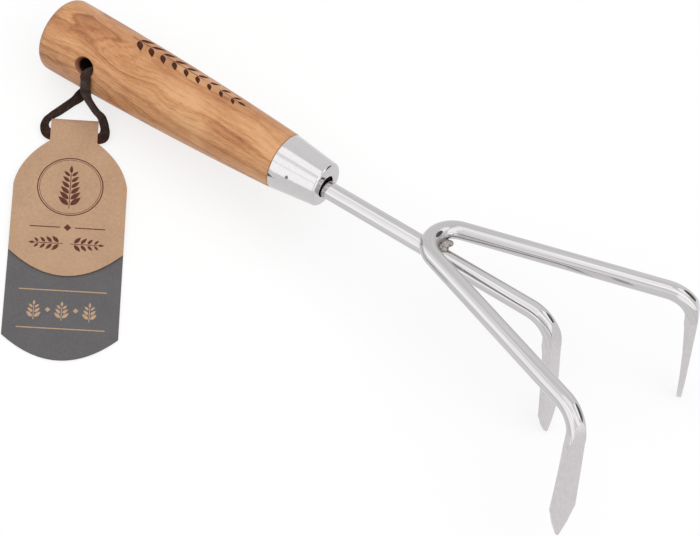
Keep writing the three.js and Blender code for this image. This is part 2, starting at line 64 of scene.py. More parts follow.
MM = 0.001
IMAGE_WIDTH = 700
STRAIGHTENED = "straightened"
X_AXIS = Vector((1, 0, 0))
Y_AXIS = Vector((0, 1, 0))
Z_AXIS = Vector((0, 0, 1))
UNMOVED = Matrix.Identity(4)

# The tool is drawn along its own handle, in millimetres: X from the butt to the head, Y to the far
# side, Z away from the tines. This matrix lays it on the table, in metres.
TOOL_TURN = Matrix(((0.9863, 0.04075, -0.15984), (0.0, 0.96901, 0.24704), (0.16496, -0.24366, 0.95573)))
TOOL_PLACE = Vector((-158.76321, 8.32655, 16.2566)) * MM
TOOL_TO_TABLE = Matrix.Translation(TOOL_PLACE) @ TOOL_TURN.to_4x4() @ Matrix.Scale(MM, 4)


class Body(Enum):
    """The rigid bodies that pieces ride on."""

    TOOL = "tool"
    FRONT_LEAF = "front_leaf"


class Slot(Enum):
    """The record's material slots."""

    ASH = "ash_wood"
    STEEL = "polished_steel"
    LACE = "dark_lace"
    KRAFT = "kraft_card"
    GREY = "grey_card"


# Working with operators.


def select_only(piece: Piece) -> None:
    """Selects one object and makes it active.

    Args:
        piece: The object.
    """
    bpy.ops.object.select_all(action="DESELECT")
    piece.select_set(True)
    bpy.context.view_layer.objects.active = piece


@contextmanager
def edit_mode(piece: Piece, select: str = "SELECT") -> Iterator[None]:
    """Opens a piece in edit mode.

    Args:
        piece: The object to edit.
        select: SELECT or DESELECT, what happens to its whole mesh first.

    Yields:
        Nothing, while the piece is open.
    """
    select_only(piece)
    bpy.ops.object.mode_set(mode="EDIT")
    bpy.ops.mesh.select_all(action=select)
    yield
    bpy.ops.object.mode_set(mode="OBJECT")


def apply_modifier(piece: Piece, kind: str, **settings: object) -> None:
    """Adds one modifier to a piece and applies it.

    Args:
        piece: The piece.
        kind: Kind of modifier.
        settings: The modifier's properties.
    """
    modifier = piece.modifiers.new(kind.lower(), kind)
    for key, value in settings.items():
        setattr(modifier, key, value)
    select_only(piece)
    bpy.ops.object.modifier_apply(modifier=modifier.name)


def bake_place(piece: Piece, place: Matrix) -> None:
    """Moves a piece by a matrix and puts its whole place into its mesh.

    Args:
        piece: The piece.
        place: The matrix that takes it to its new place.
    """
    piece.matrix_world = place @ piece.matrix_world
    select_only(piece)
    bpy.ops.object.transform_apply(location=True, rotation=True, scale=True)


def smooth_by_angle(piece: Piece, degrees: float) -> None:
    """Shades a piece smooth, with sharp edges past an angle."""
    select_only(piece)
    bpy.ops.object.shade_smooth_by_angle(angle=math.radians(degrees))


def point_faces_out(piece: Piece, merge: float = 1e-4) -> None:
    """Merges doubled points and turns every face outwards.

    Args:
        piece: A closed mesh.
        merge: Distance up to which two points are one.
    """
    with edit_mode(piece):
        bpy.ops.mesh.remove_doubles(threshold=merge)
        bpy.ops.mesh.normals_make_consistent(inside=False)


def cut_or_join(piece: Piece, other: Piece, operation: str) -> None:
    """Joins another solid to a piece or cuts it out, and deletes the other."""
    apply_modifier(piece, "BOOLEAN", object=other, operation=operation, solver="EXACT")
    bpy.data.objects.remove(other, do_unlink=True)


def dress(piece: Piece, *materials: Material) -> None:
    """Gives a piece its materials in place of any it has.

    Args:
        piece: The piece.
        materials: Its finishes, the main one first.
    """
    piece.data.materials.clear()
    for material in materials:
        piece.data.materials.append(material)


def dress_faces(piece: Piece, choose: Callable[[bpy.types.MeshPolygon], int]) -> None:
    """Gives each face the material of the number that a rule chooses."""
    for face in piece.data.polygons:
        face.material_index = choose(face)


def hand_in(piece: Piece, body: Body, slot: Slot, *nodes: str) -> None:
    """Lets a finished piece ride on its body and stand for the solids it replaces.

    Args:
        piece: The finished piece.
        body: The body that it moves with.
        slot: Not used.
        nodes: The solids that it stands for.
    """
    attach(piece, body.value)
    if nodes:
        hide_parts(*nodes)
    log.info("%s: %d faces", piece.name, len(piece.data.polygons))


def finish_tool_piece(
    piece: Piece, finish: Material, degrees: float, slot: Slot, node: str, place: Matrix = UNMOVED
) -> None:
    """Lays a piece of the tool on the table, dresses it and lets it ride on the tool in place of its solid.

    Args:
        piece: The piece in millimetres.
        finish: Its material.
        degrees: Angle past which its edges are sharp.
        slot: Its material slot.
        node: The solid that it stands for.
        place: Where it sits on the tool.
    """
    bake_place(piece, TOOL_TO_TABLE @ place)
    dress(piece, finish)
    smooth_by_angle(piece, degrees)
    hand_in(piece, Body.TOOL, slot, node)


# Shapes that several pieces share.


def evenly(first: float, last: float, steps: int) -> list[float]:
    """Numbers at even distances from the first, which isn't among them, to the last."""
    return [first + (last - first) * k / steps for k in range(1, steps + 1)]


def turned(name: str, profile: Outline, sides: int, shift: Callable[[int], float] | None = None) -> Piece:
    """Turns a profile about the X axis, as on a lathe.

    Args:
        name: Name of the object.
        profile: Pairs of place along the axis and radius, from one end to the other.
        sides: Points round each ring.
        shift: Gives for a ring's number how far its centre lies off the axis along Z.

    Returns:
        A closed object with flat ends.
    """
    start, radius = profile[0]
    bpy.ops.object.select_all(action="DESELECT")
    bpy.ops.mesh.primitive_circle_add(
        vertices=sides, radius=radius, fill_type="NGON", location=(start, 0, 0), rotation=(0, math.pi / 2, 0)
    )
    piece = bpy.context.object
    piece.name = name
    bpy.ops.object.transform_apply(location=True, rotation=True, scale=True)
    height = 0.0
    with edit_mode(piece):
        for k in range(1, len(profile)):
            (before, old), (along, new) = profile[k - 1], profile[k]
            lift = (shift(k) if shift else 0.0) - height
            height += lift
            bpy.ops.mesh.extrude_region_move(TRANSFORM_OT_translate={"value": (along - before, 0, lift)})
            if not math.isclose(new, old, abs_tol=1e-6):
                factor = new / old
                bpy.ops.transform.resize(value=(1, factor, factor), center_override=(along, 0, height))
    point_faces_out(piece)
    return piece


def rounded(start: Pair, corner: Pair, end: Pair, steps: int) -> list[Pair]:
    """Points of a quarter round that bulges towards a corner.

    Args:
        start: First point.
        corner: The corner that the round takes off.
        end: Last point.
        steps: Steps from the first point to the last.

    Returns:
        The points, both ends among them.
    """
    points = []
    for k in range(steps + 1):
        turn = math.pi / 2 * k / steps
        near, far = 1 - math.sin(turn), 1 - math.cos(turn)
        points.append(tuple(c + (s - c) * near + (e - c) * far for s, c, e in zip(start, corner, end)))
    return points


def to_near_side(roll: float) -> tuple[Vector, Matrix]:
    """Direction to the handle's near side, rolled away from the tines, and a turn of X to it."""
    direction = Matrix.Rotation(math.radians(-roll), 4, "X") @ -Y_AXIS
    return direction, direction.to_track_quat("X", "Z").to_matrix().to_4x4()


def mesh_from_curve(name: str, curve: bpy.types.Curve) -> Piece:
    """Puts a curve into the scene and makes it a mesh.

    Args:
        name: Name of the object.
        curve: The curve.

    Returns:
        The mesh object.
    """
    piece = bpy.data.objects.new(name, curve)
    bpy.context.scene.collection.objects.link(piece)
    select_only(piece)
    bpy.ops.object.convert(target="MESH")
    return bpy.context.object


def bent_rod(name: str, path: Sequence[Vector], shares: Sequence[float], radius: float) -> Piece:
    """Bends a round rod along a path.

    Args:
        name: Name of the object.
        path: Points of the rod's centre line, close together in its bends.
        shares: The radius at each point as a share of the full radius.
        radius: Radius of the rod.

    Returns:
        The rod as a closed mesh.
    """
    curve = bpy.data.curves.new(name, "CURVE")
    curve.dimensions = "3D"
    curve.twist_mode = "MINIMUM"
    curve.bevel_depth = radius
    curve.bevel_resolution = 14
    curve.use_fill_caps = True
    spline = curve.splines.new("POLY")
    spline.points.add(len(path) - 1)
    for point, place, share in zip(spline.points, path, shares):
        point.co = (*place, 1)
        point.radius = share
    piece = mesh_from_curve(name, curve)
    point_faces_out(piece)
    return piece


def mark_straightened(rod: Piece, path: Sequence[Vector]) -> None:
    """Notes each point's place as if its rod were straight: along the rod and across it twice.

    Args:
        rod: The bent rod.
        path: Its centre line, from end to end.
    """
    stops = []
    travelled = 0.0
    across = (path[1] - path[0]).orthogonal().normalized()
    for k, place in enumerate(path):
        tangent = (path[min(k + 1, len(path) - 1)] - path[max(k - 1, 0)]).normalized()
        across = (across - tangent * across.dot(tangent)).normalized()
        stops.append((place, tangent, across, tangent.cross(across), travelled))
        if k + 1 < len(path):
            travelled += (path[k + 1] - place).length
    tree = KDTree(len(path))
    for k, place in enumerate(path):
        tree.insert(place, k)
    tree.balance()
    notes = rod.data.attributes.new(STRAIGHTENED, "FLOAT_VECTOR", "POINT")
    for vert, note in zip(rod.data.vertices, notes.data):
        place, tangent, across, over, along = stops[tree.find(vert.co)[1]]
        reach = vert.co - place
        note.vector = (along + reach.dot(tangent), reach.dot(across), reach.dot(over))


def cut_sheet(name: str, outlines: Sequence[Outline], thickness: float, place: Matrix) -> Piece:
    """Cuts a flat sheet to one or more outlines; an outline inside another is a hole.

    Args:
        name: Name of the object.
        outlines: Closed outlines in the sheet's plane.
        thickness: Thickness of the sheet, upwards from its plane.
        place: Where the sheet goes.

    Returns:
        The sheet as a closed mesh with its place in its points.
    """
    curve = bpy.data.curves.new(name, "CURVE")
    curve.dimensions = "2D"
    curve.fill_mode = "BOTH"
    curve.extrude = thickness / 2
    for outline in outlines:
        spline = curve.splines.new("POLY")
        spline.use_cyclic_u = True
        spline.points.add(len(outline) - 1)
        for point, (x, y) in zip(spline.points, outline):
            point.co = (x, y, 0, 1)
    piece = mesh_from_curve(name, curve)
    bake_place(piece, place @ Matrix.Translation((0, 0, thickness / 2)))
    return piece


def join_pieces(pieces: Sequence[Piece], name: str) -> Piece:
    """Joins several meshes into one object.

    Args:
        pieces: The meshes, at least two.
        name: Name of the joined object.

    Returns:
        The joined object.
    """
    select_only(pieces[0])
    for piece in pieces:
        piece.select_set(True)
    bpy.ops.object.join()
    pieces[0].name = name
    return pieces[0]


# Finishes.


@dataclass
class Board:
    """A node tree, of a material or of a world, with short ways to add and link nodes."""

    name: str
    world: bool = False

    def __post_init__(self) -> None:
        """Makes the material or world and finds its shader and its places."""
        owner = bpy.data.worlds if self.world else bpy.data.materials
        self.material = owner.new(self.name)
        self.material.use_nodes = True
        self.tree = self.material.node_tree
        self.shader = self.tree.nodes["Background" if self.world else "Principled BSDF"]
        places = self.tree.nodes.new("ShaderNodeTexCoord").outputs
        self.place = places["Generated" if self.world else "Object"]

    def node(self, kind: str, inputs: Inputs | None = None, **settings: object) -> bpy.types.Node:
        """Adds a node.

        Args:
            kind: Kind of node, without the word ShaderNode before it.
            inputs: What its inputs are set to or linked with.
            settings: The node's properties.

        Returns:
            The node.
        """
        made = self.tree.nodes.new("ShaderNode" + kind)
        for key, value in settings.items():
            setattr(made, key, value)
        for key, value in (inputs or {}).items():
            self.feed(made.inputs[key], value)
        return made

    def feed(self, target: Socket, value: object) -> None:
        """Links an input, or sets it to a value.

        Args:
            target: The input.
            value: Another node's output, or a plain value.
        """
        if isinstance(value, bpy.types.NodeSocket):
            self.tree.links.new(value, target)
        else:
            target.default_value = value

    def math(self, operation: str, *values: Value) -> Socket:
        """Adds one calculation and returns its result."""
        return self.node("Math", dict(enumerate(values)), operation=operation).outputs[0]

    def times(self, first: Value, second: Value) -> Socket:
        """Multiplies two values."""
        return self.math("MULTIPLY", first, second)

    def weighted(self, value: Value, weight: Value, rest: Value) -> Socket:
        """Multiplies a value by its weight and adds the rest."""
        return self.math("MULTIPLY_ADD", value, weight, rest)

    def swing(self, noise: Socket, weight: float, rest: Value) -> Socket:
        """Adds a noise, weighted and centred on zero, to the rest."""
        return self.weighted(self.math("SUBTRACT", noise, 0.5), weight, rest)

    def reach(self, first: Value, second: Value) -> Socket:
        """Distance from an axis, by the two places across it."""
        return self.math("SQRT", self.weighted(first, first, self.times(second, second)))

    def noise(
        self,
        at: Socket,
        scale: float | Triple,
        detail: float,
        rough: float,
        shift: Triple = (0, 0, 0),
        twist: float = 0.0,
    ) -> Socket:
        """Adds a noise.

        Args:
            at: The place.
            scale: One scale, or one for each direction where the noise is drawn out.
            detail: Its layers.
            rough: Its roughness.
            shift: Moves the pattern, where there is a scale for each direction.
            twist: Its distortion.

        Returns:
            A value from 0 to 1.
        """
        if isinstance(scale, tuple):
            at = self.node("Mapping", {"Vector": at, "Location": shift, "Scale": scale}).outputs[0]
            scale = 1.0
        inputs = {"Vector": at, "Scale": scale, "Detail": detail, "Roughness": rough, "Distortion": twist}
        return self.node("TexNoise", inputs).outputs["Fac"]

    def ramp(self, value: Value, stops: Sequence[tuple[float, Sequence[float]]]) -> Socket:
        """Turns a value into a colour.

        Args:
            value: The value, from 0 to 1.
            stops: Pairs of value and colour.

        Returns:
            The colour.
        """
        made = self.node("ValToRGB", {"Fac": value})
        elements = made.color_ramp.elements
        while len(elements) < len(stops):
            elements.new(0.5)
        for element, (position, shade) in zip(elements, stops):
            element.position = position
            element.color = shade
        return made.outputs["Color"]

    def spread(
        self, value: Value, low: float, high: float, to_low: float = 0.0, to_high: float = 1.0
    ) -> Socket:
        """Maps a range of values to another, smoothly and without passing it."""
        inputs = {"Value": value, "From Min": low, "From Max": high, "To Min": to_low, "To Max": to_high}
        return self.node("MapRange", inputs, interpolation_type="SMOOTHSTEP").outputs["Result"]

    def blend(self, share: Value, first: object, second: object) -> Socket:
        """Mixes two colours by the share of the second."""
        return self.node("MixRGB", {"Fac": share, "Color1": first, "Color2": second}).outputs["Color"]

    def bump(self, height: Socket, distance: float, strength: float, **under: Socket) -> Socket:
        """Turns a height in metres into a surface normal, over another one where Normal gives it."""
        inputs = {"Height": height, "Distance": distance, "Strength": strength, **under}
        return self.node("Bump", inputs).outputs["Normal"]

    def finish(self, **sockets: object) -> Material:
        """Sets the shader's sockets.

        Args:
            sockets: Their names, with spaces written as underscores, and values.

        Returns:
            The finished material.
        """
        for key, value in sockets.items():
            self.feed(self.shader.inputs[key.replace("_", " ")], value)
        return self.material


def colour(shade: Shade) -> tuple[float, float, float, float]:
    """Turns a shade of 0 to 255 into the linear values that shaders take."""
    return (*(((c / 255 + 0.055) / 1.055) ** 2.4 if c > 10 else c / 255 / 12.92 for c in shade), 1.0)


def toned(shade: Shade, share: float) -> Shade:
    """Makes a shade paler or deeper by a factor."""
    return tuple(min(255, int(c * share)) for c in shade)


@dataclass(frozen=True)
class OiledAsh:
    """Turned wood, lightly oiled, with broad cloudy figure at the butt and straight grain at the neck.

    Places along the handle are in millimetres from the butt.
    """

    pale: Shade = (222, 169, 121)
    honey: Shade = (201, 142, 94)
    brown: Shade = (154, 94, 54)
    pore: Shade = (138, 84, 50)
    bored: Shade = (124, 74, 50)
    # Near-black painted shade, deep in the hanging hole and on the nose inside the ferrule.
    deep: Shade = (24, 14, 10)
    skin_radius: float = 16.9
    # Distance from the axis inside the hanging hole at which the painted shade is full.
    hole_shade_radius: float = 14.2
    hole_start: Pair = (17.0, 18.0)
    hole_end: Pair = (38.0, 37.0)
    shoulder: float = 126.8
    pith: Pair = (8.0, 34.0)
    pith_lean: float = 0.10

    def waves(self, board: Board, along: Socket, x: Socket) -> Socket:
        """Waves of the figure in millimetres, strong at the butt and calm at the neck.

        Args:
            board: The material's nodes.
            along: Place on the handle.
            x: Distance from the butt.

        Returns:
            How far the rings are pushed.
        """
        wide = board.noise(along, (0.016, 0.045, 0.045), detail=1.0, rough=0.4, shift=(3.4, 0.2, 1.3))
        small = board.noise(along, (0.06, 0.13, 0.13), detail=3.0, rough=0.55, shift=(0.4, 5.2, 2.2))
        wave = board.swing(small, 8.0, board.swing(wide, 42.0, 0.0))
        return board.times(wave, board.spread(x, 25.0, 118.0, 1.0, 0.2))

    def late_wood(self, board: Board, rings: Socket, count: float, rise: Pair, fall: Pair) -> Socket:
        """Darkness of the late wood, which grows through a ring's rise and ends over its fall."""
        ring = board.math("FRACT", board.times(rings, count))
        return board.times(board.spread(ring, *rise), board.spread(ring, *fall))

    def bare_wood_and_shade(self, board: Board, base: Socket, x: Socket, axis: Socket) -> Socket:
        """Darkens the edge of the butt and the bare wood in the hole, and paints shade deep in the hole and
        on the nose inside the ferrule.

        Args:
            board: The material's nodes.
            base: Colour of the skin.
            x: Distance from the butt.
            axis: Distance from the handle's axis.

        Returns:
            The colour.
        """
        base = board.blend(board.spread(x, 4.2, 0.4, 0.0, 0.42), base, colour(self.bored))
        at_hole = board.times(board.spread(x, *self.hole_start), board.spread(x, *self.hole_end))
        inside = board.times(board.spread(axis, self.skin_radius, self.skin_radius - 0.5), at_hole)
        # The nose inside the ferrule is painted bare-wood brown as painted shade, then darkened further
        # below.
        nose = board.spread(x, self.shoulder, self.shoulder + 1.0)
        base = board.blend(board.math("MAXIMUM", inside, nose), base, colour(self.bored))
        # Deep in the hole the wood is painted near-black, and the nose most of the way to it: painted shade.
        depth = board.times(inside, board.spread(axis, self.skin_radius - 1.0, self.hole_shade_radius))
        return board.blend(board.math("MAXIMUM", depth, board.times(nose, 0.6)), base, colour(self.deep))

    def material(self) -> Material:
        """Builds the wood.

        Returns:
            The material, in the handle's own directions.
        """
        board = Board("oiled_ash")
        turn, size = TOOL_TURN.to_euler(), (MM, MM, MM)
        lie = {"Vector": board.place, "Location": TOOL_PLACE, "Rotation": turn, "Scale": size}
        along = board.node("Mapping", lie, vector_type="TEXTURE").outputs[0]
        x, y, z = board.node("SeparateXYZ", {"Vector": along}).outputs
        wave = self.waves(board, along, x)
        # Rings round a pith that lies outside the handle and leans away from it.
        to_pith = board.weighted(x, self.pith_lean, board.math("ADD", z, self.pith[1]))
        rings = board.math("ADD", board.reach(board.math("ADD", y, self.pith[0]), to_pith), wave)
        late = self.late_wood(board, rings, 0.13, (0.35, 0.95), (1.0, 0.9))
        late_fine = self.late_wood(board, rings, 0.47, (0.3, 0.9), (1.0, 0.85))
        # Fibres, pores and cloudy patches, long along the handle.
        wavy = board.node("CombineXYZ", {0: x, 1: board.weighted(wave, 0.5, y), 2: z}).outputs[0]
        fibre = board.noise(wavy, (0.15, 1.7, 1.7), detail=5.0, rough=0.74)
        streak = board.noise(wavy, (0.04, 0.34, 0.34), detail=4.0, rough=0.6, shift=(7.0, 1.0, 4.0))
        pores = board.spread(board.noise(wavy, (0.42, 2.6, 2.6), detail=3.0, rough=0.6), 0.56, 0.70)
        pores = board.times(pores, board.weighted(late, 0.6, 0.4))
        wide = (0.035, 0.06, 0.06)
        cloud = board.noise(along, wide, detail=3.0, rough=0.55, shift=(1.0, 2.6, 8.4), twist=0.6)
        tone = board.weighted(late, 0.34, board.times(late_fine, 0.2))
        for noise, weight in ((streak, 0.5), (fibre, 1.45), (cloud, 1.2)):
            tone = board.swing(noise, weight, tone)
        tone = board.math("ADD", tone, board.spread(x, 10.0, 75.0, 0.33, 0.21))
        shades = ((0.0, self.pale), (0.45, self.honey), (1.0, self.brown))
        base = board.ramp(tone, [(position, colour(shade)) for position, shade in shades])
        base = board.blend(board.times(pores, 0.55), base, colour(self.pore))
        # Bare end grain at the butt and in the hole, and painted shade deep in the hole and on the nose.
        base = self.bare_wood_and_shade(board, base, x, board.reach(y, z))
        height = board.weighted(pores, -0.8, board.times(fibre, 0.35))
        return board.finish(
            Base_Color=base,
            Roughness=board.weighted(fibre, 0.16, 0.36),
            Normal=board.bump(height, distance=0.00006, strength=0.6),
            Specular_IOR_Level=0.45,
        )


@dataclass(frozen=True)
class PolishedSteel:
    """Polished stainless steel with faint lines from the polishing.

    On drawn rods the lines follow the rod, by its straightened places that the mesh carries.
    """

    name: str
    shade: Shade = (203, 200, 201)
    rough: float = 0.045
    cloudy: float = 0.02
    uneven: float = 0.000004
    drawn: float = 0.0
    streaks: float = 0.02
    lined: float = 0.03

    def material(self) -> Material:
        """Builds the steel.

        Returns:
            The material, in object directions.
        """
        board = Board(self.name)
        haze = board.noise(board.place, 160.0, detail=3.0, rough=0.55)
        waves = board.noise(board.place, 70.0, detail=1.0, rough=0.4)
        if self.drawn:
            straight = board.node("Attribute", attribute_name=STRAIGHTENED).outputs["Vector"]
            lines = board.noise(straight, (0.012, 1.9, 1.9), detail=3.0, rough=0.7)
        else:
            lines = board.noise(board.place, (900.0, 900.0, 260.0), detail=4.0, rough=0.6)
        rough = board.weighted(haze, self.cloudy, board.weighted(lines, self.lined, self.rough - self.lined))
        deep = toned(self.shade, 1 - self.streaks)
        base = board.blend(board.spread(lines, 0.35, 0.65), colour(deep), colour(self.shade))
        normal = board.bump(waves, self.uneven, strength=1.0)
        if self.drawn:
            normal = board.bump(lines, self.drawn, strength=0.6, Normal=normal)
        return board.finish(Base_Color=base, Metallic=1.0, Roughness=rough, Normal=normal)


@dataclass(frozen=True)
class NappedLeather:
    """Dark leather lace with a short nap."""

    deep: Shade = (34, 20, 15)
    worn: Shade = (118, 76, 56)

    def material(self) -> Material:
        """Builds the leather.

        Returns:
            The material, in object directions.
        """
        board = Board("napped_leather")
        nap = board.noise(board.place, 1500.0, detail=4.0, rough=0.7)
        patch = board.noise(board.place, 300.0, detail=3.0, rough=0.6)
        tone = board.times(board.spread(nap, 0.42, 0.75), board.spread(patch, 0.35, 0.7))
        return board.finish(
            Base_Color=board.blend(tone, colour(self.deep), colour(self.worn)),
            Roughness=0.88,
            Normal=board.bump(board.weighted(patch, 0.6, nap), distance=0.00025, strength=0.8),
            Sheen_Weight=0.12,
            Sheen_Roughness=0.5,
            Specular_IOR_Level=0.25,
        )


@dataclass(frozen=True)
class Card:
    """Uncoated card with fibres in it."""

    name: str
    shade: Shade
    speck: Shade
    specks: float

    def material(self) -> Material:
        """Builds the card.

        Returns:
            The material, in object directions.
        """
        board = Board(self.name)
        grain = board.noise(board.place, 900.0, detail=5.0, rough=0.65)
        cloud = board.noise(board.place, 90.0, detail=2.0, rough=0.5)
        hair = board.noise(board.place, (500.0, 2600.0, 500.0), detail=2.0, rough=0.5)
        cross = board.noise(board.place, (2600.0, 500.0, 500.0), detail=2.0, rough=0.5, shift=(4.0, 1.0, 0.0))
        dark = board.math("MAXIMUM", board.spread(hair, 0.62, 0.78), board.spread(cross, 0.64, 0.8))
        tone = board.swing(cloud, 0.25, board.swing(grain, 0.55, 0.5))
        pale, deep = toned(self.shade, 1.10), toned(self.shade, 0.90)
        base = board.ramp(tone, [(0.25, colour(deep)), (0.75, colour(pale))])
        return board.finish(
            Base_Color=board.blend(board.times(dark, self.specks), base, colour(self.speck)),
            Roughness=0.85,
            Normal=board.bump(grain, distance=0.00006, strength=0.6),
            Specular_IOR_Level=0.2,
        )


@dataclass(frozen=True)
class Ink:
    """Ink or burn mark, slightly uneven, as it lies on card or wood."""

    name: str
    shade: Shade
    faded: Shade
    grain: float = 1400.0

    def material(self) -> Material:
        """Builds the ink.

        Returns:
            The material, in object directions.
        """
        board = Board(self.name)
        wear = board.spread(board.noise(board.place, self.grain, detail=4.0, rough=0.65), 0.45, 0.8)
        base = board.blend(wear, colour(self.shade), colour(self.faded))
        return board.finish(Base_Color=base, Roughness=0.8, Specular_IOR_Level=0.2)


# Studio.


@dataclass(frozen=True)
class Bands:
    """Soft bands of light that metal shows.

    Levels are pairs of degrees round the X axis, from straight up towards the far side, and brightness.
    The bands take over from others while the aim along X goes from the first value of where to the second.
    """

    levels: tuple[Pair, ...]
    where: Pair = (0.0, 0.0)

    def brightness(self, board: Board, turn: Socket) -> Socket:
        """Brightness at an angle round the X axis.

        Args:
            board: The world's nodes.
            turn: The angle in radians.

        Returns:
            The brightness, as a grey colour.
        """
        share = board.weighted(turn, 0.5 / math.pi, 0.5)
        stops = [((degrees + 180) / 360, (level, level, level, 1)) for degrees, level in self.levels]
        return board.ramp(share, stops)


@dataclass(frozen=True)
class Patch:
    """A bright window or a dark doorway that metal shows, round one direction."""

    aim: Triple
    edge: float
    level: float
    bright: bool
    softness: float = 0.015


@dataclass(frozen=True)
class Studio:
    """Camera, floor, lamps and surroundings."""

    eye: Triple = (0.238635, -0.476595, 0.958285)
    right: Triple = (0.8003, 0.59034, 0.105)
    up: Triple = (-0.56232, 0.67817, 0.47314)
    back: Triple = (0.20811, -0.43771, 0.87472)
    focal_pixels: float = 2483.2
    sensor: float = 36.0
    floor_size: float = 8.0
    floor_drop: float = 0.0002
    floor_shade: float = 0.93
    floor_glow: float = 1.04
    glow_share: float = 0.72
    lamp_place: Triple = (0.1, -0.25, 1.7)
    lamp_size: Pair = (3.2, 2.6)
    lamp_power: float = 33.0
    even_light: float = 0.39
    brightest: float = 1.56
    middle: Bands = Bands((
        (-180, 1.0), (-125, 1.0), (-113, 1.2), (-104, 1.0), (-99, 0.85), (-94, 1.25), (-78, 1.7),
        (-54, 1.9), (-51, 0.9), (-48, 1.95), (-30, 1.95), (-26, 1.4), (-20, 1.2), (-12, 1.2), (-8, 1.75),
        (13, 1.75), (17, 1.4), (22, 1.0), (60, 1.03), (180, 1.0),
    ))
    front: Bands = Bands((
        (-180, 1.0), (-110, 1.02), (-92, 1.05), (-88, 0.88), (-84, 1.12), (-70, 1.14), (-58, 1.2),
        (-54, 0.95), (-50, 1.25), (-38, 1.12), (-31, 0.95), (-27, 1.6), (-20, 1.95), (2, 1.95), (7, 1.35),
        (14, 1.02), (60, 0.98), (180, 1.0),
    ), (-0.02, 0.08))
    behind: Bands = Bands((
        (-180, 1.02), (-150, 1.02), (-132, 1.4), (-118, 1.75), (-92, 1.8), (-88, 1.45), (-84, 1.8),
        (-46, 1.75), (-36, 1.35), (-24, 1.2), (-16, 1.12), (-6, 1.4), (2, 1.2), (12, 1.08), (22, 1.0),
        (60, 1.0), (180, 1.0),
    ), (-0.5, -0.66))
    end: Bands = Bands(
        ((-180, 1.0), (-115, 1.0), (-95, 1.6), (8, 1.75), (16, 1.0), (180, 1.0)), (0.5, 0.62)
    )
    window: Patch = Patch((0.45, 0.56, 0.70), 0.94, 1.95, True)
    door: Patch = Patch((0.52, 0.77, 0.33), 0.938, 0.14, False)

    def make_camera(self) -> None:
        """Stands the camera where the photograph was taken from."""
        data = bpy.data.cameras.new("camera")
        data.sensor_fit = "HORIZONTAL"
        data.sensor_width = self.sensor
        data.lens = self.focal_pixels / IMAGE_WIDTH * self.sensor
        data.clip_end = 20.0
        camera = bpy.data.objects.new("camera", data)
        turn = Matrix((self.right, self.up, self.back)).transposed()
        camera.matrix_world = Matrix.Translation(self.eye) @ turn.to_4x4()
        bpy.context.scene.collection.objects.link(camera)
        bpy.context.scene.camera = camera

    def make_floor(self) -> None:
        """Lays a plain pale floor that shows white and keeps the tool's shadow."""
        bpy.ops.object.select_all(action="DESELECT")
        bpy.ops.mesh.primitive_plane_add(size=self.floor_size, location=(0, 0, -self.floor_drop))
        floor = bpy.context.object
        floor.name = "floor"
        board = Board("pale_floor")
        path = board.node("LightPath").outputs
        seen = board.math("MAXIMUM", path["Is Camera Ray"], path["Is Glossy Ray"])
        seen = board.math("MAXIMUM", seen, path["Is Transmission Ray"])
        glow = board.node("Emission", {"Color": (1, 1, 1, 1), "Strength": self.floor_glow})
        shade = self.floor_shade
        board.finish(Base_Color=(shade, shade, shade, 1), Roughness=0.9, Specular_IOR_Level=0.1)
        layers = {0: board.times(seen, self.glow_share), 1: board.shader.outputs[0], 2: glow.outputs[0]}
        out = next(node for node in board.tree.nodes if node.type == "OUTPUT_MATERIAL")
        board.feed(out.inputs["Surface"], board.node("MixShader", layers).outputs[0])
        dress(floor, board.material)

    def make_lamps(self) -> None:
        """Hangs a wide soft lamp overhead."""
        data = bpy.data.lights.new("overhead", "AREA")
        data.shape = "RECTANGLE"
        data.size, data.size_y = self.lamp_size
        data.energy = self.lamp_power
        lamp = bpy.data.objects.new("overhead", data)
        lamp.location = self.lamp_place
        lamp.visible_glossy = False
        bpy.context.scene.collection.objects.link(lamp)

    def make_world(self) -> None:
        """Surrounds the table with white, and with the soft bands that polished metal shows."""
        board = Board("surroundings", world=True)
        bpy.context.scene.world = board.material
        x, y, z = board.node("SeparateXYZ", {"Vector": board.place}).outputs
        turn = board.math("ARCTAN2", y, z)
        shown = self.middle.brightness(board, turn)
        for bands in (self.front, self.behind, self.end):
            shown = board.blend(board.spread(x, *bands.where), shown, bands.brightness(board, turn))
        # A bright window and a dark doorway past the tines, which their bends show.
        for patch in (self.window, self.door):
            aim = board.node(
                "VectorMath", {0: board.place, 1: Vector(patch.aim).normalized()}, operation="DOT_PRODUCT"
            ).outputs["Value"]
            way, away = ("MAXIMUM", 0.0) if patch.bright else ("MINIMUM", 2.0)
            level = board.spread(aim, patch.edge, patch.edge + patch.softness, away, patch.level)
            shown = board.math(way, shown, level)
        shown = board.math("MINIMUM", shown, self.brightest)
        # White for the camera, the bands for metal and an even light for all else.
        path = board.node("LightPath").outputs
        mirrored = board.math("MAXIMUM", path["Is Glossy Ray"], path["Is Transmission Ray"])
        even = board.math("SUBTRACT", 1.0, board.math("MAXIMUM", mirrored, path["Is Camera Ray"]))
        total = board.weighted(even, self.even_light, path["Is Camera Ray"])
        board.finish(Strength=board.weighted(mirrored, shown, total), Color=(1, 1, 1, 1))

    def build(self) -> None:
        """Makes the studio and sets the plain view."""
        self.make_camera()
        self.make_floor()
        self.make_lamps()
        self.make_world()
        bpy.context.scene.view_settings.view_transform = "Standard"


# Handle.


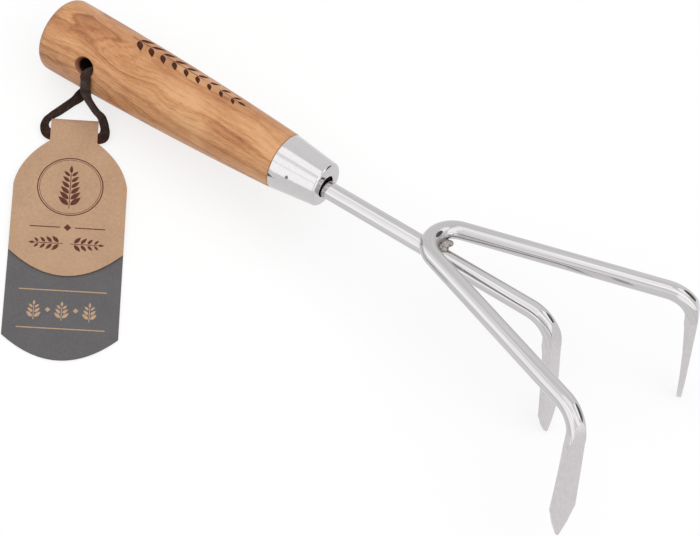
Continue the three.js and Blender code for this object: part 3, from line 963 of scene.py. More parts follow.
@dataclass
class TurnedHandle:
    """The ash handle with its hanging hole and the nose inside the ferrule."""

    length: float = 126.8
    butt: float = 34.6
    grip: float = 32.3
    neck: float = 25.8
    butt_rounding: float = 4.6
    shoulder_rounding: float = 0.4
    hole_place: float = 27.3
    hole: float = 7.6
    hole_rim: float = 11.4
    hole_rim_depth: float = 1.9
    hole_roll: float = 16.3
    flare_start: float = 0.6
    flare_power: float = 1.9
    nose_end: float = 147.6
    nose_start_radius: float = 11.4
    nose_end_radius: float = 8.8
    bore_radius: float = 4.6
    bore_depth: float = 30.0
    bore_drop: float = 1.7
    cutter_reach: float = 3.0

    def radius(self, along: float) -> float:
        """Radius of the wood, on one curve through the butt, the grip and the neck.

        Args:
            along: Distance from the butt.

        Returns:
            The radius.
        """
        share = along / self.length
        return (
            self.butt / 2 * (1 - share) * (1 - 2 * share)
            + self.grip / 2 * 4 * share * (1 - share)
            + self.neck / 2 * share * (2 * share - 1)
        )

    def profile(self) -> list[Pair]:
        """Profile from the flat end of the butt to the end of the nose.

        Returns:
            Pairs of place and radius.
        """
        rounding = self.butt_rounding
        edge = self.radius(rounding)
        points = [(0.0, 2.0), (0.0, 7.0)]
        points += rounded((0.0, edge - rounding), (0.0, edge), (rounding, edge), steps=12)
        last = self.length - self.shoulder_rounding
        points += [(x, self.radius(x)) for x in evenly(rounding, last, steps=40)]
        points += [(self.length, self.radius(self.length) - self.shoulder_rounding)]
        points += [(self.length, self.nose_start_radius), (self.nose_end, self.nose_end_radius)]
        return points

    def hole_cutter(self) -> Piece:
        """Cutter of the hanging hole, with a soft trumpet at both ends.

        Returns:
            The cutter in its place on the tool.
        """
        surface = self.radius(self.hole_place)
        inner = surface - self.hole_rim_depth - self.flare_start
        flare = (self.hole_rim - self.hole) / 2
        half = []
        for along in (inner, *evenly(inner, surface + self.cutter_reach, steps=12)):
            depth = max(0.0, (along - inner) / (surface - inner))
            half.append((along, self.hole / 2 + flare * depth**self.flare_power))
        cutter = turned("hole_cutter", [(-x, r) for x, r in reversed(half)] + half, sides=64)
        bake_place(cutter, Matrix.Translation((self.hole_place, 0, 0)) @ to_near_side(self.hole_roll)[1])
        return cutter

    def bore_cutter(self) -> Piece:
        """Cutter of the hole for the tang.

        Returns:
            The cutter in its place on the tool.
        """
        ends = (self.nose_end - self.bore_depth, self.nose_end + self.cutter_reach)
        cutter = turned("bore_cutter", [(end, self.bore_radius) for end in ends], sides=48)
        bake_place(cutter, Matrix.Translation((0, 0, -self.bore_drop)))
        return cutter

    def build(self, wood: Material) -> None:
        """Turns, drills and dresses the handle.

        Args:
            wood: Its finish.
        """
        handle = turned("ash_handle", self.profile(), sides=128)
        cut_or_join(handle, self.hole_cutter(), "DIFFERENCE")
        cut_or_join(handle, self.bore_cutter(), "DIFFERENCE")
        finish_tool_piece(handle, wood, 32.0, Slot.ASH, "handle_grip")


# Ferrule.


@dataclass
class SteelFerrule:
    """The tapered ferrule, its turned-in mouth and the brad that pins it."""

    start: float = 127.1
    length: float = 22.3
    start_radius: float = 12.86
    start_rounding: float = 0.15
    start_step: Pair = (0.02, 0.1)
    mouth_radius: float = 10.15
    mouth_bore: float = 5.1
    mouth_drop: float = 0.9
    mouth_rounding: float = 0.5
    mouth_taper: float = 0.02
    mouth_rings: int = 6
    wall: float = 1.2
    lip: float = 1.3
    lip_rounding: float = 1.4
    lip_fall: float = 0.06
    brad_place: float = 135.6
    brad_roll: float = 18.7
    brad_radius: float = 1.05
    brad_length: float = 3.0
    brad_shank: float = 0.8
    brad_sunk: float = 0.3
    brad_step: float = 0.05
    brad_dome: float = 0.42

    def outer(self, along: float) -> float:
        """Outer radius at a distance from the butt."""
        taper = self.mouth_radius - self.start_radius
        return self.start_radius + taper * (along - self.start) / self.length

    def profile(self) -> list[Pair]:
        """Profile of the wall: over the outside, round the lip into the mouth and a little back inside.

        Returns:
            Pairs of place and radius.
        """
        start, wide, rounding = self.start, self.start_radius, self.start_rounding
        end, bore, soft = start + self.length, self.mouth_bore, self.mouth_rounding
        last = end - self.lip_rounding
        edge, inside = self.outer(last), wide - self.wall
        points = [(start + self.start_step[0], inside), (start, inside + self.start_step[1])]
        points += rounded((start, wide - rounding), (start, wide), (start + rounding, wide), steps=4)
        points += [(x, self.outer(x)) for x in evenly(start + rounding, last, steps=10)]
        lip = (end, edge - self.lip_rounding)
        points += rounded((last, edge), (end, edge - self.lip_fall), lip, steps=8)[1:]
        points += rounded((end, bore + soft), (end, bore), (end - soft, bore), steps=5)
        back = end - self.lip
        points += [(back, bore + self.mouth_taper), (back, self.outer(back) - self.wall)]
        return points

    def make_tube(self, points: Outline) -> Piece:
        """Turns the ferrule's wall, with its opening round the rod, and closes it on the inside.

        Args:
            points: Profile of the wall.

        Returns:
            The closed wall.
        """
        last = len(points) - 1

        def drop(ring: int) -> float:
            """How far a ring lies off the axis: only those of the mouth do."""
            return -self.mouth_drop if last - self.mouth_rings <= ring < last else 0.0

        tube = turned("steel_ferrule", points, 128, drop)
        with edit_mode(tube, "DESELECT"):
            mesh = bmesh.from_edit_mesh(tube.data)
            for face in mesh.faces:
                face.select = len(face.verts) > 4
            bmesh.update_edit_mesh(tube.data)
            bpy.ops.mesh.delete(type="ONLY_FACE")
            bpy.ops.mesh.select_all(action="DESELECT")
            bpy.ops.mesh.select_mode(type="EDGE")
            bpy.ops.mesh.select_non_manifold()
            bpy.ops.mesh.bridge_edge_loops()
            bpy.ops.mesh.select_mode(type="VERT")
        point_faces_out(tube)
        return tube

    def make_brad(self, dark_steel: Material) -> None:
        """Sets the brad with its low domed head.

        Args:
            dark_steel: Its finish.
        """
        radius, sunk = self.brad_radius, self.brad_sunk
        shank = radius * self.brad_shank
        points = [(-self.brad_length, shank), (-sunk - self.brad_step, shank), (-sunk, radius)]
        for turn in evenly(0.0, math.pi / 2, steps=6)[:-1]:
            points.append((-sunk + self.brad_dome * math.sin(turn), radius * math.cos(turn)))
        brad = turned("ferrule_brad_head", points, sides=32)
        direction, turn = to_near_side(self.brad_roll)
        foot = Vector((self.brad_place, 0, 0)) + direction * self.outer(self.brad_place)
        finish_tool_piece(brad, dark_steel, 50.0, Slot.STEEL, "ferrule_brad", Matrix.Translation(foot) @ turn)

    def build(self, steel: Material, dark_steel: Material) -> None:
        """Makes the ferrule of steel and its brad of dark steel."""
        finish_tool_piece(self.make_tube(self.profile()), steel, 40.0, Slot.STEEL, "ferrule")
        self.make_brad(dark_steel)


# Prongs.


@dataclass(frozen=True)
class Section:
    """Width and thickness of a blade at a distance below its bend."""

    distance: float
    width: float
    thickness: float


@dataclass(frozen=True)
class TineSizes:
    """What differs from tine to tine.

    The length runs from the corner between arm and tine to the point. The lean is forward and the
    splay outward, both in degrees, and so is the twist of the blade. The bow is how far the blade's
    root lies to the far side. Breadth and heft are shares of the blade's usual width and thickness.
    """

    arm: float
    length: float
    lean: float
    splay: float
    bow: float
    twist: float
    breadth: float = 1.0
    heft: float = 1.0
    point_length: float = 16.0


@dataclass
class Tine:
    """One forged tine: the bend at the end of its arm and the blade below it.

    The bend's frame has X along the arm, Z to the outside of the bend and its origin where the bend
    starts. The blade's front is flat, turned by a twist about the blade's length, and runs out on the
    outside of the bend. Across it, positive is to the far side. Distances on the blade run down from
    the bend's end.
    """

    arm_end: Vector
    arm: Vector
    tine: Vector
    sizes: TineSizes
    bend_radius: float = 14.1
    rod_radius: float = 4.0
    tongue: float = 9.5
    thinning: float = 0.9
    front: float = 2.0
    front_slope: float = 0.022
    flat_turn: float = 41.5
    cut_depth: float = 0.03
    cutter_width: float = 16.0
    cutter_reach: float = 16.0
    cutter_back: tuple[Pair, ...] = ((-11.0, 12.0), (-18.0, 4.0))
    root_sink: float = 0.2
    root_step: float = 0.15
    root_fall: float = 60.0
    sections: tuple[Section, ...] = (
        Section(-9.0, 4.6, 3.8), Section(-6.0, 6.0, 4.6), Section(-3.0, 7.1, 5.5), Section(0.0, 7.8, 5.8),
        Section(4.0, 8.4, 5.1), Section(17.0, 9.9, 3.8),
    )
    point: tuple[Section, ...] = (Section(1.0, 11.8, 2.7), Section(0.44, 6.7, 2.5), Section(0.0, 1.2, 2.2))
    edge_rounding: float = 0.5

    def __post_init__(self) -> None:
        """Works out the bend."""
        self.angle = math.acos(self.arm.dot(self.tine))
        self.cut = self.bend_radius * math.tan(self.angle / 2)
        self.bend_start = self.arm_end - self.arm * self.cut
        self.inward = (self.tine - self.arm * self.arm.dot(self.tine)).normalized()
        self.across = (-self.inward).cross(self.arm)
        self.blade = self.sizes.length - self.cut

    def on_bend(self, turn: float) -> Vector:
        """Centre line at an angle of the bend, in the bend's frame.

        Args:
            turn: The angle from where the bend starts.

        Returns:
            The point.
        """
        radius, bow = self.bend_radius, self.sizes.bow
        along, up = radius * math.sin(turn), -radius * (1 - math.cos(turn))
        return Vector((along, bow * (turn / self.angle) ** 2, up))

    def below_bend(self, distance: float) -> Vector:
        """Centre line at a distance below the bend, in the bend's frame.

        Args:
            distance: Distance along the blade.

        Returns:
            The point.
        """
        along = Vector((math.cos(self.angle), 0, -math.sin(self.angle))) * distance
        end = self.on_bend(self.angle)
        return Vector((end.x, self.sizes.bow * (1 - distance / self.blade), end.z)) + along

    def blade_turn(self) -> Matrix:
        """Directions of the blade in the bend's frame: down its length, across it and out of its front."""
        return Matrix.Rotation(self.angle, 3, "Y") @ Matrix.Rotation(math.radians(self.sizes.twist), 3, "X")

    def to_tool(self) -> Matrix:
        """Place of the bend's frame in the tool's frame."""
        turn = Matrix((self.arm, self.across, -self.inward)).transposed()
        return Matrix.Translation(self.bend_start) @ turn.to_4x4()

    def rod_path(self) -> list[tuple[Vector, float]]:
        """Centre line of the rod through the bend and along its fading tongue.

        Returns:
            Points in the tool's frame, each with its share of the rod's radius.
        """
        bend_steps, tongue_steps = 32, 14
        points = [(self.on_bend(self.angle * k / bend_steps), 1.0) for k in range(bend_steps + 1)]
        for share in evenly(0.0, 1.0, tongue_steps):
            points.append((self.below_bend(self.tongue * share), 1.0 - self.thinning * share))
        place = self.to_tool()
        return [(place @ point, share) for point, share in points]

    def flat_cutter(self, name: str) -> Piece:
        """Cutter for the blade's flat front, which runs out on the outside of the bend.

        Args:
            name: Name of the cutter.

        Returns:
            The cutter in the tool's frame.
        """
        down, across, out = self.blade_turn().transposed()
        front, reach = self.front - self.cut_depth, self.cutter_reach
        steps = 11
        outline = []
        for k in range(steps + 1, -1, -1):
            share = k / steps
            radius = self.bend_radius + self.front - self.cut_depth
            radius += (self.rod_radius - self.front) * share * share
            angle = math.radians(self.flat_turn) * share
            outline.append((-radius * math.sin(angle), radius * math.cos(angle) - self.bend_radius))
        outline += [(reach, front - reach * self.front_slope), (reach, self.cutter_back[0][1])]
        outline += self.cutter_back
        corner = Matrix.Translation(self.below_bend(0) + across * (self.cutter_width / 2))
        turn = Matrix((down, out, -across)).transposed().to_4x4()
        return cut_sheet(name, [outline], self.cutter_width, self.to_tool() @ corner @ turn)

    def stations(self) -> list[tuple[Vector, float, float]]:
        """Sections of the blade from its root inside the bend to its point.

        Returns:
            Centre in the bend's frame, width and thickness of each.
        """
        sizes = self.sizes
        out = self.blade_turn().col[2]
        rows = []
        points = []
        for mark in self.point:
            distance = self.blade - mark.distance * sizes.point_length
            points.append(Section(distance, mark.width, mark.thickness))
        for section in (*self.sections, *points):
            drop, thickness = section.distance, section.thickness * sizes.heft
            if drop < 0:
                rod = math.sqrt(self.bend_radius**2 - drop * drop) - self.bend_radius
                under_cut = self.front - self.root_step + drop * abs(drop) / self.root_fall - thickness / 2
                middle = min(rod - self.root_sink, under_cut)
            else:
                middle = self.front - self.front_slope * drop - thickness / 2
            breadth = sizes.breadth if drop > 0 else 1.0
            rows.append((self.below_bend(drop) + out * middle, section.width * breadth, thickness))
        return rows

    def build_blade(self, name: str) -> Piece:
        """Draws the blade out of a thin block, from inside the bend to the point.

        Args:
            name: Name of the blade.

        Returns:
            The blade in the tool's frame.
        """
        turn = self.blade_turn()
        straight = turn.transposed()
        rows = [(straight @ centre, width, thickness) for centre, width, thickness in self.stations()]
        place, width, thickness = rows[0]
        bpy.ops.object.select_all(action="DESELECT")
        bpy.ops.mesh.primitive_plane_add(size=1.0)
        blade = bpy.context.object
        blade.name = name
        with edit_mode(blade):
            bpy.ops.transform.rotate(value=-math.pi / 2, orient_axis="Y", center_override=(0, 0, 0))
            bpy.ops.transform.resize(value=(1, width, thickness), center_override=(0, 0, 0))
            bpy.ops.transform.translate(value=place)
            for target, new_width, new_thickness in rows[1:]:
                bpy.ops.mesh.extrude_region_move(TRANSFORM_OT_translate={"value": target - place})
                factors = (1, new_width / width, new_thickness / thickness)
                bpy.ops.transform.resize(value=factors, center_override=target)
                place, width, thickness = target, new_width, new_thickness
        point_faces_out(blade)
        bake_place(blade, self.to_tool() @ turn.to_4x4())
        bevel = {"segments": 3, "limit_method": "ANGLE", "angle_limit": math.radians(50)}
        apply_modifier(blade, "BEVEL", width=self.edge_rounding, **bevel)
        return blade


@dataclass
class ForgedProngs:
    """Both bent rods with their three tines, and the welds that hold them together.

    The two steels are those of the drawn rods and of the ground blades. Each weld bead is a row of
    puddles: their places from the notch between the rods, and their sizes.
    """

    steels: tuple[Material, Material]
    mouth: float = 149.4
    rod: float = 8.0
    rod_drop: float = 1.7
    pitch: float = 0.4
    shaft: float = 55.3
    inner_end: float = 14.0
    gap: float = 0.3
    crown_radius: float = 11.7
    outer_angle: float = 20.0
    middle_tine: TineSizes = TineSizes(
        arm=62.7, length=61.5, lean=7.5, splay=0.0, bow=0.0, twist=4.0,
        breadth=0.9, heft=0.92, point_length=11.5,
    )
    near_tine: TineSizes = TineSizes(
        arm=101.8, length=63.5, lean=4.6, splay=2.9, bow=-1.8, twist=7.0, heft=0.78,
    )
    far_tine: TineSizes = TineSizes(arm=101.8, length=62.4, lean=4.6, splay=2.9, bow=0.6, twist=-4.0)
    rear_bead: tuple[tuple[Triple, Triple], ...] = (
        ((-3.4, 0.0, 0.1), (1.7, 3.4, 1.7)),
        ((-3.1, 1.9, 0.4), (1.5, 1.8, 1.5)),
        ((-3.2, -1.8, -0.1), (1.4, 1.9, 1.3)),
    )
    front_bead: tuple[tuple[Triple, Triple], ...] = (
        ((3.9, 0.2, 0.2), (2.1, 3.3, 2.0)),
        ((4.8, 2.6, 1.1), (2.4, 2.2, 1.9)),
        ((5.6, 0.8, -0.1), (2.0, 2.0, 1.5)),
        ((4.2, -2.3, 0.4), (1.6, 1.8, 1.6)),
        ((6.4, 3.4, 1.6), (1.7, 1.5, 1.4)),
    )

    def __post_init__(self) -> None:
        """Works out the shaft's line and where the rods cross."""
        pitch = math.radians(self.pitch)
        self.direction = Vector((math.cos(pitch), 0, -math.sin(pitch)))
        self.slope = -math.tan(pitch)
        self.lift = self.rod + self.gap
        self.crossing = self.on_shaft(self.mouth + self.shaft)

    def on_shaft(self, along: float) -> Vector:
        """Centre of the shaft at a distance from the butt."""
        start = Vector((self.mouth, 0, -self.rod_drop))
        return start + self.direction * ((along - self.mouth) / self.direction.x)

    def tine(self, start: Vector, arm: Vector, forward: Vector, side: Vector, sizes: TineSizes) -> Tine:
        """Makes a tine at the end of an arm; forward is level with the handle, side is outward."""
        tilt = forward * math.tan(math.radians(sizes.lean)) + side * math.tan(math.radians(sizes.splay))
        return Tine(start + arm * sizes.arm, arm, (tilt - Z_AXIS).normalized(), sizes)

    def finish_rod(self, name: str, path: RodPath, tines: Sequence[Tine], node: str) -> None:
        """Bends a rod, joins its dressed blades to it and lets it ride on the tool in place of its solid.

        Args:
            name: Name of the rod.
            path: Points of its centre line, each with its share of the radius.
            tines: The tines at its ends.
            node: The solid that it stands for.
        """
        rod = bent_rod(name, [place for place, _ in path], [share for _, share in path], self.rod / 2)
        dress(rod, *self.steels)
        for k, tine in enumerate(tines):
            die, blade = tine.flat_cutter(f"{name}_die_{k}"), tine.build_blade(f"{name}_blade_{k}")
            for other, operation in ((die, "DIFFERENCE"), (blade, "UNION")):
                dress(other, *self.steels)
                dress_faces(other, lambda face: 1)
                cut_or_join(rod, other, operation)
        mark_straightened(rod, [place for place, share in path if share == 1.0])
        bake_place(rod, TOOL_TO_TABLE)
        smooth_by_angle(rod, 17.0)
        hand_in(rod, Body.TOOL, Slot.STEEL, node)

    def build_middle(self) -> None:
        """Makes the rod with shaft, middle arm and middle tine."""
        tine = self.tine(self.crossing, self.direction, X_AXIS, Y_AXIS, self.middle_tine)
        path = [(self.on_shaft(self.mouth - self.inner_end), 1.0), (self.crossing, 1.0), *tine.rod_path()]
        self.finish_rod("steel_middle_prong", path, [tine], "middle_prong")

    def on_crown(self, turn: float) -> Vector:
        """Centre line of the U at an angle from its rear, positive to the far side."""
        x, y = -self.crown_radius * math.cos(turn), self.crown_radius * math.sin(turn)
        return self.crossing + Vector((self.crown_radius, 0, self.lift)) + Vector((x, y, x * self.slope))

    def build_outer(self) -> None:
        """Makes the U-bent rod with both outer tines."""
        half_turn = math.pi / 2 - math.radians(self.outer_angle)
        tines = []
        for hand, sizes in ((-1, self.near_tine), (1, self.far_tine)):
            angle = math.radians(self.outer_angle) * hand
            forward = Vector((math.cos(angle), math.sin(angle), 0))
            side = Vector((-math.sin(angle), math.cos(angle), 0)) * hand
            arm = Vector((forward.x, forward.y, forward.x * self.slope)).normalized()
            tines.append(self.tine(self.on_crown(half_turn * hand), arm, forward, side, sizes))
        steps = 48
        crown = [(self.on_crown(half_turn * (2 * k / steps - 1)), 1.0) for k in range(steps + 1)]
        path = [*reversed(tines[0].rod_path()), *crown, *tines[1].rod_path()]
        self.finish_rod("steel_outer_prongs", path, tines, "outer_prongs")

    def build_welds(self, steel: Material) -> None:
        """Lays the two weld beads in the notches where the rods cross.

        Args:
            steel: Their finish.
        """
        notch = self.crossing + Z_AXIS * (self.lift / 2)
        for name, puddles in (("weld_bead_rear", self.rear_bead), ("weld_bead_front", self.front_bead)):
            rng = random.Random(len(puddles))
            parts = []
            for shift, size in puddles:
                place = notch + Vector(shift)
                bpy.ops.object.select_all(action="DESELECT")
                bpy.ops.mesh.primitive_ico_sphere_add(subdivisions=4, radius=1.0, location=place)
                puddle = bpy.context.object
                puddle.scale = size
                puddle.rotation_euler = [rng.uniform(-tilt, tilt) for tilt in (0.3, 0.3, 0.5)]
                bpy.ops.object.transform_apply(location=True, rotation=True, scale=True)
                parts.append(puddle)
            bead = join_pieces(parts, name + "_metal")
            apply_modifier(bead, "REMESH", mode="VOXEL", voxel_size=0.22)
            apply_modifier(bead, "SMOOTH", factor=0.6, iterations=5)
            finish_tool_piece(bead, steel, 60.0, Slot.STEEL, name)


# Lace.

LACE_ROUTE = (
    ((-128.4, 29.4, 4.9), (0.95, -0.19, 0.24)),
    ((-129.4, 25.5, 8.4), (0.98, -0.02, 0.19)),
    ((-130.1, 23.0, 10.7), (0.98, -0.01, 0.18)),
    ((-130.4, 18.1, 13.4), (0.99, 0.04, 0.15)),
    ((-130.8, 10.9, 18.4), (0.94, 0.15, 0.31)),
    ((-131.0, 2.8, 22.5), (0.85, 0.22, 0.48)),
    ((-131.5, -2.4, 25.6), (0.74, 0.3, 0.6)),
    ((-131.6, -5.4, 26.8), (0.76, 0.3, 0.58)),
    ((-131.0, -7.7, 27.2), (0.76, 0.34, 0.55)),
    ((-129.9, -9.1, 26.3), (0.95, 0.08, 0.25)),
    ((-129.6, -9.5, 22.8), (1.0, -0.02, -0.01)),
    ((-129.6, -9.6, 19.9), (0.98, 0.0, 0.18)),
    ((-128.9, -10.2, 18.5), (0.91, 0.2, 0.35)),
    ((-128.0, -10.4, 15.9), (0.92, 0.08, 0.4)),
    ((-126.6, -10.4, 13.2), (0.84, 0.08, 0.54)),
    ((-124.6, -10.3, 10.6), (0.79, 0.07, 0.61)),
    ((-122.5, -10.0, 7.8), (0.74, 0.12, 0.67)),
    ((-119.8, -9.8, 5.9), (0.61, 0.21, 0.77)),
    ((-118.0, -10.6, 4.4), (0.55, 0.26, 0.79)),
    ((-116.0, -12.1, 3.5), (0.62, 0.26, 0.74)),
    ((-114.6, -13.9, 2.7), (0.84, 0.25, 0.49)),
    ((-114.1, -15.8, 2.2), (0.99, -0.14, 0.0)),
    ((-115.1, -17.5, 1.9), (0.7, -0.71, 0.0)),
    ((-117.5, -19.2, 1.9), (0.57, -0.82, 0.0)),
    ((-126.6, -25.3, 1.9), (0.56, -0.83, 0.0)),
    ((-130.4, -27.8, 1.9), (0.57, -0.82, 0.0)),
    ((-132.4, -29.3, 2.0), (0.4, -0.92, 0.01)),
    ((-134.6, -29.6, 2.3), (-0.26, -0.96, 0.0)),
    ((-136.7, -28.6, 2.7), (-0.64, -0.5, 0.58)),
    ((-138.3, -26.2, 3.0), (-0.4, -0.12, 0.9)),
    ((-138.6, -23.0, 3.0), (-0.1, 0.04, 0.99)),
    ((-137.4, -17.8, 2.9), (-0.24, 0.03, 0.97)),
    ((-135.9, -10.2, 2.9), (-0.3, 0.04, 0.95)),
    ((-135.6, -5.0, 2.2), (-0.8, 0.1, 0.58)),
    ((-135.5, 1.5, 1.2), (-0.99, 0.08, 0.1)),
    ((-135.2, 10.0, 1.1), (-0.99, 0.12, 0.0)),
    ((-134.0, 18.6, 1.3), (-0.97, 0.26, 0.0)),
    ((-131.9, 24.1, 1.9), (-0.91, 0.41, 0.01)),
    ((-129.6, 28.0, 2.6), (-0.86, 0.51, 0.0)),
)


def smooth_route(points: Sequence[Vector], per_span: int) -> list[Vector]:
    """Runs one smooth curve through a row of points.

    Args:
        points: The points that the curve passes.
        per_span: Steps from each point to the next.

    Returns:
        Points along the curve, closer together than the given ones.
    """
    padded = [points[0] * 2 - points[1], *points, points[-1] * 2 - points[-2]]
    result = []
    for k in range(1, len(padded) - 2):
        p0, p1, p2, p3 = padded[k - 1 : k + 3]
        d0, d1, d2 = (max((b - a).length, 1e-4) ** 0.5 for a, b in ((p0, p1), (p1, p2), (p2, p3)))
        m1 = ((p1 - p0) / d0 - (p2 - p0) / (d0 + d1) + (p2 - p1) / d1) * d1
        m2 = ((p2 - p1) / d1 - (p3 - p1) / (d1 + d2) + (p3 - p2) / d2) * d1
        for step in range(per_span):
            t = step / per_span
            result.append(
                p1 * (2 * t**3 - 3 * t**2 + 1)
                + m1 * (t**3 - 2 * t**2 + t)
                + p2 * (-2 * t**3 + 3 * t**2)
                + m2 * (t**3 - t**2)
            )
    result.append(points[-1].copy())
    return result


@dataclass
class FlatLace:
    """The flat lace with its knot behind the handle."""

    width: float = 5.5
    thickness: float = 1.2
    per_span: int = 10
    sides: int = 20
    drift_span: int = 6
    drift_share: float = 0.02
    face_power: float = 0.45
    edge_power: float = 0.6
    knot_place: Triple = (-128.2, 30.6, 4.0)
    knot_size: Triple = (10.4, 9.2, 7.2)
    knot_inset: Triple = (1.6, 1.6, 1.9)
    knot_strand: Pair = (3.4, 1.7)
    knot_lean: float = 0.4
    tail_length: float = 12.0
    tail_angles: Pair = (14.0, 352.0)

    def ribbon(self, name: str, path: Places, sides: Places, size: Pair, seed: int) -> Piece:
        """Runs a flat strip along a path, with the small unevenness of cut leather.

        Args:
            name: Name of the object.
            path: Centre line in millimetres.
            sides: Direction across the strip at each point.
            size: Full width and thickness.
            seed: Seed of its unevenness.

        Returns:
            A closed mesh in metres.
        """
        rng = random.Random(seed)
        count, span = self.sides, self.drift_span
        width, thickness = size
        drift = [rng.uniform(-1, 1) for _ in range(len(path) // span + 3)]
        verts, faces = [], []
        last = len(path) - 1
        for k, (place, side) in enumerate(zip(path, sides)):
            tangent = (path[min(k + 1, last)] - path[max(k - 1, 0)]).normalized()
            across = (side - tangent * side.dot(tangent)).normalized()
            over = across.cross(tangent)
            part, base = k % span / span, k // span
            uneven = drift[base] * (1 - part) + drift[base + 1] * part
            half = width / 2 * (1 - self.drift_share + self.drift_share * uneven)
            for j in range(count):
                turn = 2 * math.pi * j / count
                c, s = math.cos(turn), math.sin(turn)
                flat = math.copysign(abs(c) ** self.face_power, c) * half
                high = math.copysign(abs(s) ** self.edge_power, s) * thickness / 2
                verts.append((place + across * flat + over * high) * MM)
        for k in range(last):
            for j in range(count):
                a, b = k * count + j, k * count + (j + 1) % count
                faces.append((a, a + count, b + count, b))
        faces.append(tuple(range(count)))
        faces.append(tuple(range(last * count + count - 1, last * count - 1, -1)))
        mesh = bpy.data.meshes.new(name)
        mesh.from_pydata(verts, [], faces)
        piece = bpy.data.objects.new(name, mesh)
        bpy.context.scene.collection.objects.link(piece)
        with edit_mode(piece):
            bpy.ops.mesh.normals_make_consistent(inside=False)
        smooth_by_angle(piece, 50.0)
        return piece

    def build(self, leather: Material) -> None:
        """Args:
            leather: Their finish.
        """
        path, sides = (smooth_route([Vector(row[k]) for row in LACE_ROUTE], self.per_span) for k in (0, 1))
        lace = self.ribbon("leather_lace", path, sides, (self.width, self.thickness), seed=5)
        knot = self.build_knot()
        for piece, node in ((lace, "lace"), (knot, "lace_knot")):
            dress(piece, leather)
            hand_in(piece, Body.TOOL, Slot.LACE, node)

    def build_knot(self) -> Piece:
        """Ties the overhand knot with its two tails.

        Returns:
            The knot with its tails.
        """
        centre = Vector(self.knot_place)
        reach = Vector(self.knot_size) / 2 - Vector(self.knot_inset)
        loop, across = [], []
        steps = 90
        for k in range(steps + 1):
            t = 2 * math.pi * k / steps
            x = (math.sin(t) + 2 * math.sin(2 * t)) / 3
            y = (math.cos(t) - 2 * math.cos(2 * t)) / 3
            z = -math.sin(3 * t)
            loop.append(centre + Vector((x * reach.x, y * reach.y, z * reach.z)))
            across.append(Vector((-x * self.knot_lean, -y * self.knot_lean, 1.0)))
        parts = [self.ribbon("knot_turns", loop, across, self.knot_strand, seed=11)]
        for number, degrees in enumerate(self.tail_angles):
            angle = math.radians(degrees)
            side = Vector((-math.sin(angle), math.cos(angle), 0))
            end = centre + Vector((math.cos(angle), math.sin(angle), 0)) * self.tail_length
            end.z = self.thickness
            rise, dip = centre.lerp(end, 0.35) + Z_AXIS * 0.5, centre.lerp(end, 0.7) - Z_AXIS * 0.2
            path = smooth_route([centre, rise, dip, end], per_span=8)
            size = (self.width, self.thickness)
            parts.append(self.ribbon(f"knot_tail_{number}", path, [side] * len(path), size, seed=20 + number))
        return join_pieces(parts, "leather_knot")


# Tag.


